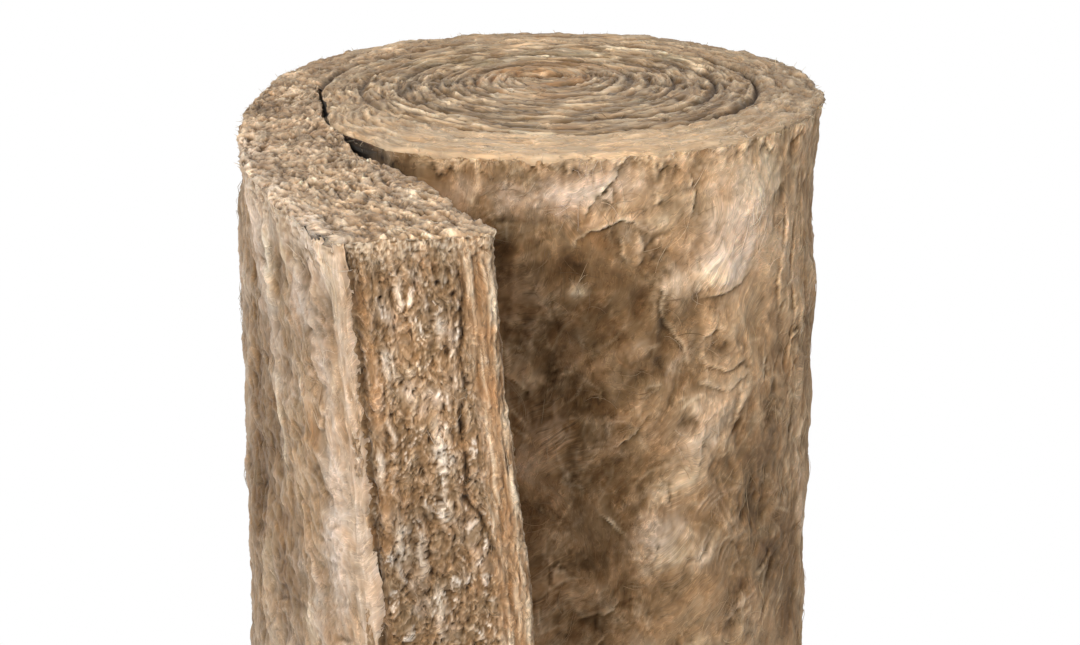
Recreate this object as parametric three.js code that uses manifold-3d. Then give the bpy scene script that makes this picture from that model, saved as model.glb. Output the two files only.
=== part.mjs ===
// Roll of unfaced mineral wool insulation, standing on end and partly unrolled.
//
// It is one continuous batt. Most of it is wound into a tight coil, where each turn is pressed thin. The
// outer turn has loosened, and the free end has peeled away from the coil's left side: it leaves the coil
// on a tangent, swings forward on a wide arc, springs back to nearly its full thickness and ends in a cut
// face. The turns are pressed into one mass, so the seam between them shows as a groove on both ends of
// the roll, and only where the free end stands off the coil is it open from top to bottom.
//
// Millimetres, +Z up. The origin is on the floor, on the axis of the coil's outer turn. The free end
// points to -Y.

import * as THREE from "three";
import { mergeVertices } from "three/addons/utils/BufferGeometryUtils.js";
import Module from "manifold-3d";

// The batt and its coil
const BATT_WIDTH = 1200; // the roll's height
const COIL_RADIUS = 230; // radius of the tight coil, where the free end leaves it
const TURNS = 6; // from the free end's root to the eye
const SLACK = 36; // how far the outer turn has sprung out across the front
const SHOULDER = 9; // its bulge where the free end stops pressing on it
const SQUEEZE = 12; // how far the free end has pushed the tight coil off the outer turn's axis
const BULGE = 14; // how far the left side stands out at mid height, round the free end's root

// The free end
const FREE_LENGTH = 568; // from the coil to the middle of the cut face
const FREE_SWEEP = THREE.MathUtils.degToRad(31); // how far its arc turns
const FREE_THICKNESS = 124; // at the top and bottom of the cut face
const BELLY = 17; // extra thickness of the cut face at mid height
const LEAN = 43; // how far the cut face leans towards the coil at mid height
const CUT_SKEW = THREE.MathUtils.degToRad(20); // the cut isn't quite square to the batt

// Edges, seams and the eye
const RIM_RADIUS = 9; // soft rounding of every edge at the two ends
const CUT_CORNER = 22; // rounding of the cut face's two upright edges
const CREVICE_GAP = 3; // between the coil and the part of the free end that lies against it
const CREVICE_ROOT = 1.035; // where that gap closes, in turns
const CREVICE_MOUTH = 10; // how much wider it stands where the free end comes clear of the coil
const SEAM_HALF_WIDTH = 8; // the groove along the seam between two turns
const SEAM_DEPTH = 10;
const EYE_OFFSET = new THREE.Vector2(4, 56); // the winding's centre drifts to here
const EYE_LENGTH = 60; // the flattened opening inside the first turn
const EYE_WIDTH = 8;

// Facets
const TURN_STEPS = 60; // sides of one turn of the coil
const SEAM_STEPS = 30; // sides of one turn of the groove
const FREE_STEPS = 14; // sides along the free end
const RIM_STEPS = 3;
const BELLY_STEPS = 8;

// Windings are counted in turns, inwards from the coil's left side, where the free end leaves it.
const TIGHT_TURN = (COIL_RADIUS - EYE_LENGTH / 2) / (TURNS - 1);

// The angle of a winding, seen from above: it goes from left to back, right and front.
const windingAngle = (winding) => Math.PI * (1 - 2 * winding);

// Radius of the seam between two turns. Under one turn it is the outside of the loosened outer turn, which
// is still pressed flat at its inner end, where the free end lies against it.
function seamRadius(winding) {
  const released = 1 - THREE.MathUtils.smoothstep(winding, 0.85, 0.96);
  const slack = SLACK * THREE.MathUtils.smoothstep(winding, 0.05, 0.6);
  const shoulder = SHOULDER * Math.exp(-(((winding - 0.825) / 0.03) ** 2));
  return COIL_RADIUS + TIGHT_TURN * (1 - winding) + slack * released + shoulder;
}

// The centre that a winding turns round: the tight coil is off the axis of the outer turn, and its eye is
// further off.
function windingCentre(winding) {
  const squeezed = new THREE.Vector2(SQUEEZE * THREE.MathUtils.smoothstep(winding, 0.85, 0.96), 0);
  return squeezed.lerp(EYE_OFFSET, THREE.MathUtils.clamp((winding - 1) / (TURNS - 1), 0, 1) ** 1.6);
}

function seamPoint(winding, outwards = 0) {
  const angle = windingAngle(winding);
  const radius = seamRadius(winding) + outwards;
  const spoke = new THREE.Vector2(Math.cos(angle), Math.sin(angle));
  return spoke.multiplyScalar(radius).add(windingCentre(winding));
}

// --- The free end, laid out along its centreline --------------------------------------------------------

const ROOT_THICKNESS = seamPoint(1).x - seamPoint(0).x;
const ROOT_RADIUS = -(seamPoint(0).x + seamPoint(1).x) / 2;
const FREE_ARC_RADIUS = FREE_LENGTH / FREE_SWEEP;
const FREE_ARC_CENTRE = new THREE.Vector2(FREE_ARC_RADIUS - ROOT_RADIUS, 0);

// A point of the free end: `along` from the coil, `across` towards the coil's side.
function freePoint(along, across) {
  const turned = along / FREE_ARC_RADIUS;
  const spoke = new THREE.Vector2(-Math.cos(turned), -Math.sin(turned));
  return spoke.multiplyScalar(FREE_ARC_RADIUS - across).add(FREE_ARC_CENTRE);
}

function freeThickness(along) {
  const pressed = Math.max(1 - along / (0.8 * FREE_LENGTH), 0) ** 2.5;
  return THREE.MathUtils.lerp(FREE_THICKNESS, ROOT_THICKNESS, pressed);
}

// One long side of the free end at a height. side is -1 outside and 1 on the coil's side, and belly runs
// from 0 at the two ends of the roll to 1 at mid height.
function freeSide(along, side, belly) {
  const slack = belly * (Math.min(along, FREE_LENGTH) / FREE_LENGTH) ** 2;
  const half = (freeThickness(along) + BELLY * slack) / 2;
  const across = side * half + LEAN * slack;
  return side > 0 ? keepOffCoil(freePoint(along, across)) : freePoint(along, across - bulge(along, belly));
}

// The free end lies against the coil until its own arc takes it clear.
function keepOffCoil(point) {
  const winding = 1 - ((Math.PI + Math.atan2(point.y, point.x)) % (2 * Math.PI)) / (2 * Math.PI);
  const mouth = CREVICE_MOUTH * (1 - THREE.MathUtils.smoothstep(winding, 0.84, 0.87));
  const clear = seamPoint(winding, CREVICE_GAP + mouth).length();
  return point.length() < clear ? point.setLength(clear) : point;
}

// How far the skin stands out round the free end's root, which dies away along the batt both ways.
function bulge(along, belly) {
  const reach = along < 0 ? 0.7 * FREE_LENGTH : 0.8 * FREE_LENGTH;
  return BULGE * belly * (1 - THREE.MathUtils.smoothstep(Math.abs(along), 0, reach));
}

// --- The roll's outline, seen from above ----------------------------------------------------------------

const steps = (count, from, to) =>
  Array.from({ length: count + 1 }, (_, i) => THREE.MathUtils.lerp(from, to, i / count));

// Rounds the corner between two straight runs with a quadratic curve.
function roundedCorner(before, corner, after) {
  const start = corner.clone().add(before.clone().sub(corner).setLength(CUT_CORNER));
  const end = corner.clone().add(after.clone().sub(corner).setLength(CUT_CORNER));
  return new THREE.QuadraticBezierCurve(start, corner, end).getPoints(3);
}

function outlineAt(height) {
  const belly = 1 - (height / (BATT_WIDTH / 2) - 1) ** 2;
  const skew = (freeThickness(FREE_LENGTH) / 2) * Math.tan(CUT_SKEW);
  const ends = { outside: FREE_LENGTH - skew, inside: FREE_LENGTH + skew };
  const coil = steps(TURN_STEPS, CREVICE_ROOT, 0).map((winding) =>
    seamPoint(winding, bulge(-2 * Math.PI * COIL_RADIUS * winding, belly)),
  );
  const outside = steps(FREE_STEPS, 0, ends.outside).map((along) => freeSide(along, -1, belly));
  const inside = steps(FREE_STEPS, ends.inside, 0).map((along) => freeSide(along, 1, belly));
  const crevice = steps(2, 1, CREVICE_ROOT).map((winding) => seamPoint(winding, CREVICE_GAP));
  const outerCorner = outside.pop();
  const innerCorner = inside.shift();
  return [
    ...coil,
    ...outside.slice(1),
    ...roundedCorner(outside.at(-1), outerCorner, innerCorner),
    ...roundedCorner(outerCorner, innerCorner, inside[0]),
    ...inside.slice(0, -1),
    ...crevice,
  ];
}

// Moves each point of a closed outline inwards by the same distance from both its neighbouring edges.
function inset(points, distance) {
  return points.map((point, i) => {
    const before = point.clone().sub(points.at(i - 1)).normalize();
    const after = points[(i + 1) % points.length].clone().sub(point).normalize();
    const inwards = new THREE.Vector2(-before.y - after.y, before.x + after.x).normalize();
    const mitre = Math.max(inwards.x * -before.y + inwards.y * before.x, 0.5);
    return point.clone().addScaledVector(inwards, distance / mitre);
  });
}

// --- Meshes ---------------------------------------------------------------------------------------------

function meshGeometry(vertices, triangles) {
  const geometry = new THREE.BufferGeometry();
  const positions = vertices.flatMap((vertex) => vertex.toArray());
  geometry.setAttribute("position", new THREE.Float32BufferAttribute(positions, 3));
  geometry.setIndex(triangles.flat());
  return geometry;
}

// Skins a stack of rings that all have the same number of points, and closes its two ends.
function loft(rings, lidTriangles) {
  const count = rings[0].length;
  const last = (rings.length - 1) * count;
  const walls = rings.slice(1).flatMap((_, ring) =>
    rings[0].flatMap((_, i) => {
      const low = ring * count;
      const next = (i + 1) % count;
      return [
        [low + i, low + next, low + count + next],
        [low + i, low + count + next, low + count + i],
      ];
    }),
  );
  const bottom = lidTriangles.map(([a, b, c]) => [a, c, b]);
  const top = lidTriangles.map((triangle) => triangle.map((i) => i + last));
  return meshGeometry(rings.flat(), [...walls, ...bottom, ...top]);
}

// The whole roll as one upright mass, with its rims rounded and its free end bellied.
function rollGeometry() {
  const rim = steps(RIM_STEPS, 0, Math.PI / 2).map((turn) => ({
    height: RIM_RADIUS * (1 - Math.cos(turn)),
    in: RIM_RADIUS * (1 - Math.sin(turn)),
  }));
  const middle = steps(BELLY_STEPS, RIM_RADIUS, BATT_WIDTH - RIM_RADIUS).slice(1, -1);
  const levels = [
    ...rim,
    ...middle.map((height) => ({ height, in: 0 })),
    ...rim.map((level) => ({ height: BATT_WIDTH - level.height, in: level.in })).reverse(),
  ];
  const rings = levels.map((level) =>
    inset(outlineAt(level.height), level.in).map((p) => new THREE.Vector3(p.x, p.y, level.height)),
  );
  return loft(rings, THREE.ShapeUtils.triangulateShape(rings[0], []));
}

// Cutter for the seam between the turns on one end of the roll: a valley with soft shoulders, swept along
// the spiral from the crevice to the eye. up is 1 on the top end and -1 on the bottom end.
function seamGeometry(up) {
  const valley = [
    [-SEAM_HALF_WIDTH, 2],
    [-SEAM_HALF_WIDTH * 0.8, -0.06 * SEAM_DEPTH],
    [-SEAM_HALF_WIDTH * 0.4, -0.4 * SEAM_DEPTH],
    [0, -SEAM_DEPTH],
    [SEAM_HALF_WIDTH * 0.4, -0.4 * SEAM_DEPTH],
    [SEAM_HALF_WIDTH * 0.8, -0.06 * SEAM_DEPTH],
    [SEAM_HALF_WIDTH, 2],
  ].map(([across, rise]) => new THREE.Vector2(across, rise * up));
  if (up < 0) valley.reverse();
  const end = up > 0 ? BATT_WIDTH : 0;
  const count = Math.round((TURNS - 1) * SEAM_STEPS);
  const rings = steps(count, CREVICE_ROOT - 0.02, TURNS).map((winding) => {
    const middle = seamPoint(winding);
    const outwards = seamPoint(winding, 1).sub(middle);
    return valley.map(({ x: across, y: rise }) => {
      const p = middle.clone().addScaledVector(outwards, across);
      return new THREE.Vector3(p.x, p.y, end + rise);
    });
  });
  return loft(rings, THREE.ShapeUtils.triangulateShape(valley, []));
}

// The flattened opening that the first fold of the batt leaves, right through the roll.
function eyeGeometry() {
  const half = (EYE_LENGTH - EYE_WIDTH) / 2;
  const slot = new THREE.Shape();
  slot.absarc(half, 0, EYE_WIDTH / 2, -Math.PI / 2, Math.PI / 2);
  slot.absarc(-half, 0, EYE_WIDTH / 2, Math.PI / 2, (3 * Math.PI) / 2);
  const geometry = new THREE.ExtrudeGeometry(slot, {
    depth: BATT_WIDTH + 2 * RIM_RADIUS,
    bevelEnabled: false,
    curveSegments: 6,
  });
  return geometry.translate(EYE_OFFSET.x, EYE_OFFSET.y, -RIM_RADIUS);
}

// --- Solid ----------------------------------------------------------------------------------------------

const wasm = await Module();
wasm.setup();

function toSolid(geometry) {
  const bare = new THREE.BufferGeometry().setAttribute("position", geometry.getAttribute("position"));
  bare.setIndex(geometry.index);
  const merged = mergeVertices(bare, 1e-3);
  return new wasm.Manifold(
    new wasm.Mesh({
      numProp: 3,
      vertProperties: merged.attributes.position.array,
      triVerts: new Uint32Array(merged.index.array),
    }),
  );
}

function toGeometry(solid) {
  const { vertProperties, triVerts } = solid.getMesh();
  const geometry = new THREE.BufferGeometry();
  geometry.setAttribute("position", new THREE.BufferAttribute(vertProperties, 3));
  geometry.setIndex(new THREE.BufferAttribute(triVerts, 1));
  return geometry;
}

const batt = [seamGeometry(1), seamGeometry(-1), eyeGeometry()].reduce(
  (solid, cutter) => solid.subtract(toSolid(cutter)),
  toSolid(rollGeometry()),
);

const wool = new THREE.MeshStandardMaterial({ color: 0xb4936b, roughness: 0.95, metalness: 0 });
const woolBatt = new THREE.Mesh(toGeometry(batt), wool);
woolBatt.name = "wool_batt";

const insulationRoll = new THREE.Group();
insulationRoll.name = "insulation_roll";
insulationRoll.add(woolBatt);

export default insulationRoll;
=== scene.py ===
"""Looks for a roll of brown mineral wool insulation, standing on end and partly unrolled.

The batt is drawn as one strip. Its side skin, its cut face and the crinkled layers of its two ends are grids
that follow the strip, lifted into relief with seeded noise, and its loose fibres are thin tubes.
Lengths in this file are millimetres until a mesh is made. Blender and the frame are in metres.
"""

import functools
import math

import bpy
import numpy as np
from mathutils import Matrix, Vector


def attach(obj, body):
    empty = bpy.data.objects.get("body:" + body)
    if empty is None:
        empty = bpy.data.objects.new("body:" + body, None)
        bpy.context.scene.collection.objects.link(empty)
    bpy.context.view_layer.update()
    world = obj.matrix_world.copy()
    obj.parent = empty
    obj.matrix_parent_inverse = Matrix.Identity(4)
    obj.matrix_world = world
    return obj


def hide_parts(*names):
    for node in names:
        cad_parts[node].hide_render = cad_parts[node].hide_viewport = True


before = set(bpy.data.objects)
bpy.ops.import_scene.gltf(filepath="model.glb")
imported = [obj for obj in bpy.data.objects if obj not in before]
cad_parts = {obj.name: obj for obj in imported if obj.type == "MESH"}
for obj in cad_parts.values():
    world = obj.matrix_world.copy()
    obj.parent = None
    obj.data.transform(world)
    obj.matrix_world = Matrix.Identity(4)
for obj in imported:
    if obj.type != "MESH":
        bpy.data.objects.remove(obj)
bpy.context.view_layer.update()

# --- The roll's plan, as in the CAD model ---------------------------------------------------------------

HEIGHT = 1200.0
COIL_RADIUS = 230.0
TURNS = 6
SLACK, SHOULDER, SQUEEZE, BULGE = 36.0, 9.0, 12.0, 14.0
FREE_LENGTH, FREE_SWEEP, FREE_THICKNESS = 568.0, math.radians(31), 124.0
BELLY, LEAN, CUT_SKEW = 17.0, 43.0, math.radians(20)
CREVICE_GAP, CREVICE_ROOT, CREVICE_MOUTH = 3.0, 1.035, 10.0
EYE = np.array((4.0, 56.0))
EYE_LENGTH, EYE_WIDTH = 60.0, 8.0
TIGHT_TURN = (COIL_RADIUS - EYE_LENGTH / 2) / (TURNS - 1)


def smooth(x, low, high):
    t = np.clip((x - low) / (high - low), 0, 1)
    return t * t * (3 - 2 * t)


def mix(a, b, t):
    return a + (b - a) * t


def near(d, width):
    """1 where d is 0, falling away over width either side."""
    return np.exp(-((d / width) ** 2))


def norm(v):
    return np.linalg.norm(v, axis=-1)


def unit(v):
    return v / (norm(v) + 1e-9)[..., None]


def reached(steps):
    """How far along a line each of its points lies, from the lengths of its steps."""
    return np.concatenate([[0], np.cumsum(steps)])


def seam_radius(w):
    released = 1 - smooth(w, 0.85, 0.96)
    slack = SLACK * smooth(w, 0.05, 0.6)
    shoulder = SHOULDER * near(w - 0.825, 0.03)
    return COIL_RADIUS + TIGHT_TURN * (1 - w) + slack * released + shoulder


def winding_centre(w):
    squeezed = np.stack([SQUEEZE * smooth(w, 0.85, 0.96), 0 * w], -1)
    drift = np.clip((w - 1) / (TURNS - 1), 0, 1) ** 1.6
    return mix(squeezed, EYE, drift[..., None])


def seam_point(w, outwards=0.0):
    w = np.asarray(w, float)
    angle = math.pi * (1 - 2 * w)
    r = seam_radius(w) + outwards
    return np.stack([np.cos(angle) * r, np.sin(angle) * r], -1) + winding_centre(w)


ROOT_THICKNESS = float(seam_point(1.0)[0] - seam_point(0.0)[0])
ROOT_RADIUS = -float(seam_point(0.0)[0] + seam_point(1.0)[0]) / 2
ARC_RADIUS = FREE_LENGTH / FREE_SWEEP


def free_point(along, across):
    turned = along / ARC_RADIUS
    r = ARC_RADIUS - across
    return np.stack([ARC_RADIUS - ROOT_RADIUS - r * np.cos(turned), -r * np.sin(turned)], -1)


def free_thickness(along):
    pressed = np.maximum(1 - along / (0.8 * FREE_LENGTH), 0) ** 2.5
    return mix(FREE_THICKNESS, ROOT_THICKNESS, pressed)


def free_across(along, side, belly):
    """Across the free end, from its centreline: side is -1 outside and 1 on the coil's side."""
    slack = belly * (np.minimum(along, FREE_LENGTH) / FREE_LENGTH) ** 2
    return side * (free_thickness(along) + BELLY * slack) / 2 + LEAN * slack


def bulge(along, belly):
    reach = np.where(along < 0, 0.7, 0.8) * FREE_LENGTH
    return BULGE * belly * (1 - smooth(np.abs(along), 0, reach))


def keep_off_coil(p):
    w = 1 - np.mod(np.pi + np.arctan2(p[..., 1], p[..., 0]), 2 * np.pi) / (2 * np.pi)
    clear = norm(seam_point(w, CREVICE_GAP + CREVICE_MOUTH * (1 - smooth(w, 0.84, 0.87))))
    return p * (np.maximum(norm(p), clear) / norm(p))[..., None]


def free_side(along, side, belly):
    across = free_across(along, side, belly)
    if side > 0:
        return keep_off_coil(free_point(along, across))
    return free_point(along, across - bulge(along, belly))


# --- Seeded gradient noise ------------------------------------------------------------------------------


class Noise:
    """Gradient noise on a plane, from a table of random slopes."""

    def __init__(self, seed):
        angle = np.random.default_rng(seed).uniform(0, 2 * np.pi, 256 * 256)
        self.gx, self.gy = np.cos(angle).astype(np.float32), np.sin(angle).astype(np.float32)

    def __call__(self, x, y):
        x, y = np.broadcast_arrays(np.asarray(x, np.float32), np.asarray(y, np.float32))
        ix, iy = np.floor(x).astype(np.int32), np.floor(y).astype(np.int32)
        fx, fy = x - ix, y - iy
        sx, sy = (f * f * f * (f * (f * 6 - 15) + 10) for f in (fx, fy))
        left, right = (ix & 255) << 8, (ix + 1 & 255) << 8
        low, high = iy & 255, iy + 1 & 255

        def corner(k, dx, dy):
            return np.take(self.gx, k) * (fx - dx) + np.take(self.gy, k) * (fy - dy)

        below = corner(left | low, 0, 0)
        below += sx * (corner(right | low, 1, 0) - below)
        above = corner(left | high, 0, 1)
        above += sx * (corner(right | high, 1, 1) - above)
        return (below + sy * (above - below)) * 1.55


seeded = functools.cache(Noise)


def noise(seed, x, y, octaves=1, gain=0.5):
    """Fractal noise, roughly from -1 to 1."""
    total, amp, size = 0.0, 1.0, 0.0
    for k in range(octaves):
        total = total + amp * seeded(seed * 10 + k)(x * 2**k + 17.3 * k, y * 2**k - 9.1 * k)
        size += amp
        amp *= gain
    return total / size**0.5


def blur(grid, rows, cols):
    """Mean over a window of a grid, by running sums."""
    out = grid
    for axis, half in ((0, rows), (1, cols)):
        if half < 1:
            continue
        pad = [(0, 0), (0, 0)]
        pad[axis] = (half + 1, half)
        s = np.cumsum(np.pad(out, pad, mode="edge"), axis=axis, dtype=np.float64)
        n = out.shape[axis]
        a = np.take(s, range(2 * half + 1, 2 * half + 1 + n), axis=axis)
        b = np.take(s, range(0, n), axis=axis)
        out = (a - b) / (2 * half + 1)
    return out


# --- Meshes ---------------------------------------------------------------------------------------------


def grid_faces(rows, cols, flip=False):
    i = np.arange(rows * cols).reshape(rows, cols)
    a, b, c, d = i[:-1, :-1], i[:-1, 1:], i[1:, 1:], i[1:, :-1]
    return np.stack([a, b, c, d] if not flip else [a, d, c, b], -1).reshape(-1, 4)


def grid_normals(verts, flip=False):
    """Normals of a grid of points, from its rows and columns."""
    down, right = np.gradient(verts, axis=0), np.gradient(verts, axis=1)
    return unit(np.cross(right, down) * (-1 if flip else 1))


def make_piece(name, verts, faces, material, paint, strip, normals=None):
    me = bpy.data.meshes.new(name)
    n, k = faces.shape
    verts = verts.reshape(-1, 3)
    me.vertices.add(len(verts))
    me.vertices.foreach_set("co", (verts / 1000).astype(np.float32).ravel())
    me.loops.add(n * k)
    me.loops.foreach_set("vertex_index", faces.astype(np.int32).ravel())
    me.polygons.add(n)
    me.polygons.foreach_set("loop_start", np.arange(0, n * k, k, dtype=np.int32))
    me.update(calc_edges=True)
    me.polygons.foreach_set("use_smooth", np.ones(n, bool))
    rgba = np.ones((len(verts), 4))
    rgba[:, :3] = np.clip(paint.reshape(-1, 3), 0.004, 0.95)
    layer = me.color_attributes.new(name="wool", type="FLOAT_COLOR", domain="POINT")
    layer.data.foreach_set("color", rgba.astype(np.float32).ravel())
    layer = me.attributes.new(name="strip", type="FLOAT_VECTOR", domain="POINT")
    layer.data.foreach_set("vector", (strip.reshape(-1, 3) / 1000).astype(np.float32).ravel())
    if normals is not None:
        me.normals_split_custom_set_from_vertices(normals.reshape(-1, 3).tolist())
    me.materials.append(material)
    ob = bpy.data.objects.new(name, me)
    bpy.context.scene.collection.objects.link(ob)
    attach(ob, "root")
    return ob


# --- Wool materials -------------------------------------------------------------------------------------


class Nodes:
    """Short calls for the shader nodes of one material or world."""

    def __init__(self, owner):
        owner.use_nodes = True
        self.owner, self.tree = owner, owner.node_tree
        self.tree.nodes.clear()

    def new(self, kind, inputs=(), **props):
        node = self.tree.nodes.new(kind)
        for key, value in props.items():
            setattr(node, key, value)
        for key, value in dict(inputs).items():
            socket = node.inputs[key]
            if isinstance(value, bpy.types.NodeSocket):
                self.tree.links.new(value, socket)
            else:
                socket.default_value = value
        return node

    def math(self, op, a, b=0.0, c=0.0):
        return self.new("ShaderNodeMath", {0: a, 1: b, 2: c}, operation=op).outputs[0]

    def scaled(self, vector, scale, offset=(0, 0, 0)):
        node = self.new("ShaderNodeVectorMath", {0: vector, 1: scale, 2: offset}, operation="MULTIPLY_ADD")
        return node.outputs[0]

    def added(self, a, b):
        return self.new("ShaderNodeVectorMath", {0: a, 1: b}, operation="ADD").outputs[0]

    def noise(self, vector, scale, detail, rough=0.5):
        inputs = {"Vector": vector, "Scale": scale, "Detail": detail, "Roughness": rough}
        return self.new("ShaderNodeTexNoise", inputs)

    def ramp(self, value, low, high, to_low=0.0, to_high=1.0):
        inputs = {0: value, 1: low, 2: high, 3: to_low, 4: to_high}
        return self.new("ShaderNodeMapRange", inputs, interpolation_type="SMOOTHSTEP").outputs[0]

    def blend(self, factor, a, b, mode="MIX"):
        inputs = {0: factor, 6: a, 7: b}
        return self.new("ShaderNodeMix", inputs, data_type="RGBA", blend_type=mode).outputs[2]

    def seen_by_eye(self):
        """1 for the rays that show a background: the camera's own, reflected ones and those through glass."""
        rays = self.new("ShaderNodeLightPath").outputs
        either = self.math("MAXIMUM", rays["Is Camera Ray"], rays["Is Glossy Ray"])
        return self.math("MAXIMUM", either, rays["Is Transmission Ray"])


def wool_material(name, fibre, stretch, curl, bump, contrast, clump, lines, soft):
    """Fibrous wool. The strip attribute gives each point's place in metres, across its fibres and along them.

    fibre is the width of the finest marks in millimetres and stretch how much longer than wide they are. curl is
    how far they stray and bump how far they stand out, both in metres. contrast is the depth of the painted light
    and shade that follow their height, clump the weight of coarse clumps, lines that of single threads and soft
    that of the light that passes through.
    """
    n = Nodes(bpy.data.materials.new(name))
    paint = n.new("ShaderNodeAttribute", attribute_name="wool").outputs["Color"]
    place = n.new("ShaderNodeAttribute", attribute_name="strip").outputs["Vector"]
    warp = n.noise(place, 60.0, 3.0, 0.55).outputs["Color"]
    warped = n.added(place, n.scaled(warp, (curl, curl * 1.5, 0.0), (-curl / 2, -curl * 0.75, 0.0)))
    flow = n.scaled(warped, (1.0, 1.0 / stretch, 1.0))
    fine = n.noise(flow, 1000.0 / fibre, 2.0, 0.55).outputs[0]
    strands = n.noise(flow, 300.0 / fibre, 3.0, 0.6).outputs[0]
    clumps = n.noise(warped, 110.0, 4.0, 0.62).outputs[0]

    def threads(scale, squash, width, seed):
        """Thin curving lines: where a noise crosses its middle, broken up by another."""
        shifted = n.scaled(warped, (1.0, squash, 1.0), (seed, seed, seed))
        wave = n.noise(shifted, scale, 1.5, 0.6).outputs[0]
        line = n.ramp(n.math("ABSOLUTE", n.math("SUBTRACT", wave, 0.5)), 0.0, width, 1.0, 0.0)
        broken = n.ramp(n.noise(shifted, scale * 0.6, 1.0).outputs[0], 0.42, 0.62)
        return n.math("MULTIPLY", line, broken)

    pale = n.math("MAXIMUM", threads(170.0, 0.30, 0.030, 0.0), threads(240.0, 0.45, 0.035, 3.1))
    dark = threads(200.0, 0.35, 0.030, 7.7)
    height = n.math("MULTIPLY_ADD", fine, 0.30, n.math("MULTIPLY", strands, 0.6))
    height = n.math("MULTIPLY_ADD", clumps, clump, height)
    height = n.math("MULTIPLY_ADD", n.math("SUBTRACT", pale, dark), 0.16, height)
    middle = 0.45 + 0.5 * clump
    # Painted light and shade at the fibres' scale: lighter where the marks stand high, darker where they lie low
    shade = n.ramp(height, middle - 0.3, middle + 0.3, 1.0 - contrast, 1.0 + contrast * 0.9)
    shade = n.math("MULTIPLY", shade, n.math("MULTIPLY_ADD", n.math("SUBTRACT", pale, dark), 0.5 * lines, 1.0))
    grey = n.new("ShaderNodeCombineColor", {0: shade, 1: shade, 2: shade}).outputs[0]
    colour = n.blend(1.0, paint, grey, "MULTIPLY")
    hue = n.ramp(n.noise(place, 38.0, 3.0, 0.6).outputs[0], 0.35, 0.65)
    tint = n.blend(hue, (1.05, 0.99, 0.93, 1.0), (0.97, 1.0, 1.03, 1.0))
    colour = n.blend(1.0, colour, tint, "MULTIPLY")
    bumped = n.new("ShaderNodeBump", {"Height": height, "Strength": 1.0, "Distance": bump}).outputs[0]
    finish = {
        "Base Color": colour, "Normal": bumped, "Roughness": 0.95, "IOR": 1.4, "Specular IOR Level": 0.15,
        "Sheen Weight": 0.15, "Sheen Roughness": 0.5, "Sheen Tint": (1.0, 0.92, 0.84, 1.0),
        "Subsurface Weight": soft, "Subsurface Radius": (1.0, 0.7, 0.45), "Subsurface Scale": 0.003,
    }
    shader = n.new("ShaderNodeBsdfPrincipled", finish)
    n.new("ShaderNodeOutputMaterial", {"Surface": shader.outputs[0]})
    return n.owner


# Colours, linear
# DEEP serves mostly for painted shade; DARK, PALE and CREAM serve both for the wool's own tones and for painted
# shade and highlight
DEEP = np.array((0.060, 0.033, 0.014))
DARK = np.array((0.19, 0.112, 0.054))
TAN = np.array((0.42, 0.280, 0.170))
PALE = np.array((0.64, 0.470, 0.325))
LILAC = np.array((0.72, 0.600, 0.530))
CREAM = np.array((0.84, 0.700, 0.530))
RUST = np.array((0.50, 0.270, 0.125))
MOSS = np.array((0.42, 0.380, 0.260))


def shadow(depth):
    # A darker brown: painted shade in some places, the wool's own darker tone in others
    return mix(DARK, DEEP, depth)


def tinted(colour, tint, amount):
    """A grid of colours, multiplied by a tint where the amount is 1."""
    return colour * mix(np.ones(3), np.array(tint), amount[..., None])


def spot(x, z, x0, z0, rx, rz):
    """A soft spot on a grid: 1 in its middle, falling away over its reach across and up."""
    return np.exp(-((x - x0) / rx) ** 2 - ((z - z0) / rz) ** 2)


def toned(x, z, table, tone=1.0):
    """Lightness set by hand: soft spots, each with its place, its reach and its amount."""
    for x0, z0, rx, rz, amount in table:
        tone = tone + amount * spot(x, z, x0, z0, rx, rz)
    return tone


def contrasted(colour, amount):
    """Spreads a grid's light and dark tones further apart round their mean."""
    light = colour @ (0.3, 0.5, 0.2)
    return colour * np.clip(light / light.mean(), 0.25, 2.5)[..., None] ** np.asarray(amount)[..., None]


def browner(colour, pivot, amounts):
    """Deepens the tones below a lightness, the blue most, and lifts those above it."""
    light = colour @ (0.3, 0.5, 0.2)
    return colour * np.clip(light / pivot, 0.15, 1.25)[..., None] ** np.array(amounts)


def crumbs(x, y, hole_x, hole_y, hole_low):
    """Ridges of crumbly wool, and the holes between them."""
    crumb = 1 - 2.2 * np.abs(noise(97, x, y, 2, 0.6))
    return crumb, smooth(noise(98, hole_x, hole_y, 2, 0.6), hole_low, hole_low + 0.45)


class Painted:
    """A grid with a height and a colour at each point, which takes one layer of wool after another."""

    def ground(self, tint, shape):
        self.colour = np.tile(tint, shape + (1,))

    def paint(self, amount, tint, where=...):
        self.colour[where] = mix(self.colour[where], tint, np.clip(amount, 0, 1)[..., None])

    def shade(self, field, weight, *tints):
        """Tints, each with its amount and where it sets in and is full: with a minus, where the field is low."""
        for amount, start, full, tint in tints:
            self.paint(weight * abs(amount) * smooth(math.copysign(1, amount) * field, start, full), tint)

    def fray(self, amount, crumb, holes, tints, shares, rise, sink):
        """Breaks the surface into crumbs: a ground, the crumbs' crests and the holes, each with its share."""
        # The holes sink in; the dark tint they are given is painted shade
        for part, tint, share in zip((1.0, smooth(crumb, 0.1, 0.9), holes), tints, shares):
            self.paint(amount * part * share, tint)
        self.h = self.h + amount * (rise * crumb - sink * holes)


# --- The batt's side skin: where it runs ----------------------------------------------------------------

STEP = 2.1
COIL_POINTS = 900
CORNER = 22.0
RIM = 5.0
TUCK_DROP, TUCK_IN, TUCK_RUN = np.array((6.0, 10.0)), np.array((2.5, 4.0)), np.array((4.0, 9.0))


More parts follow.
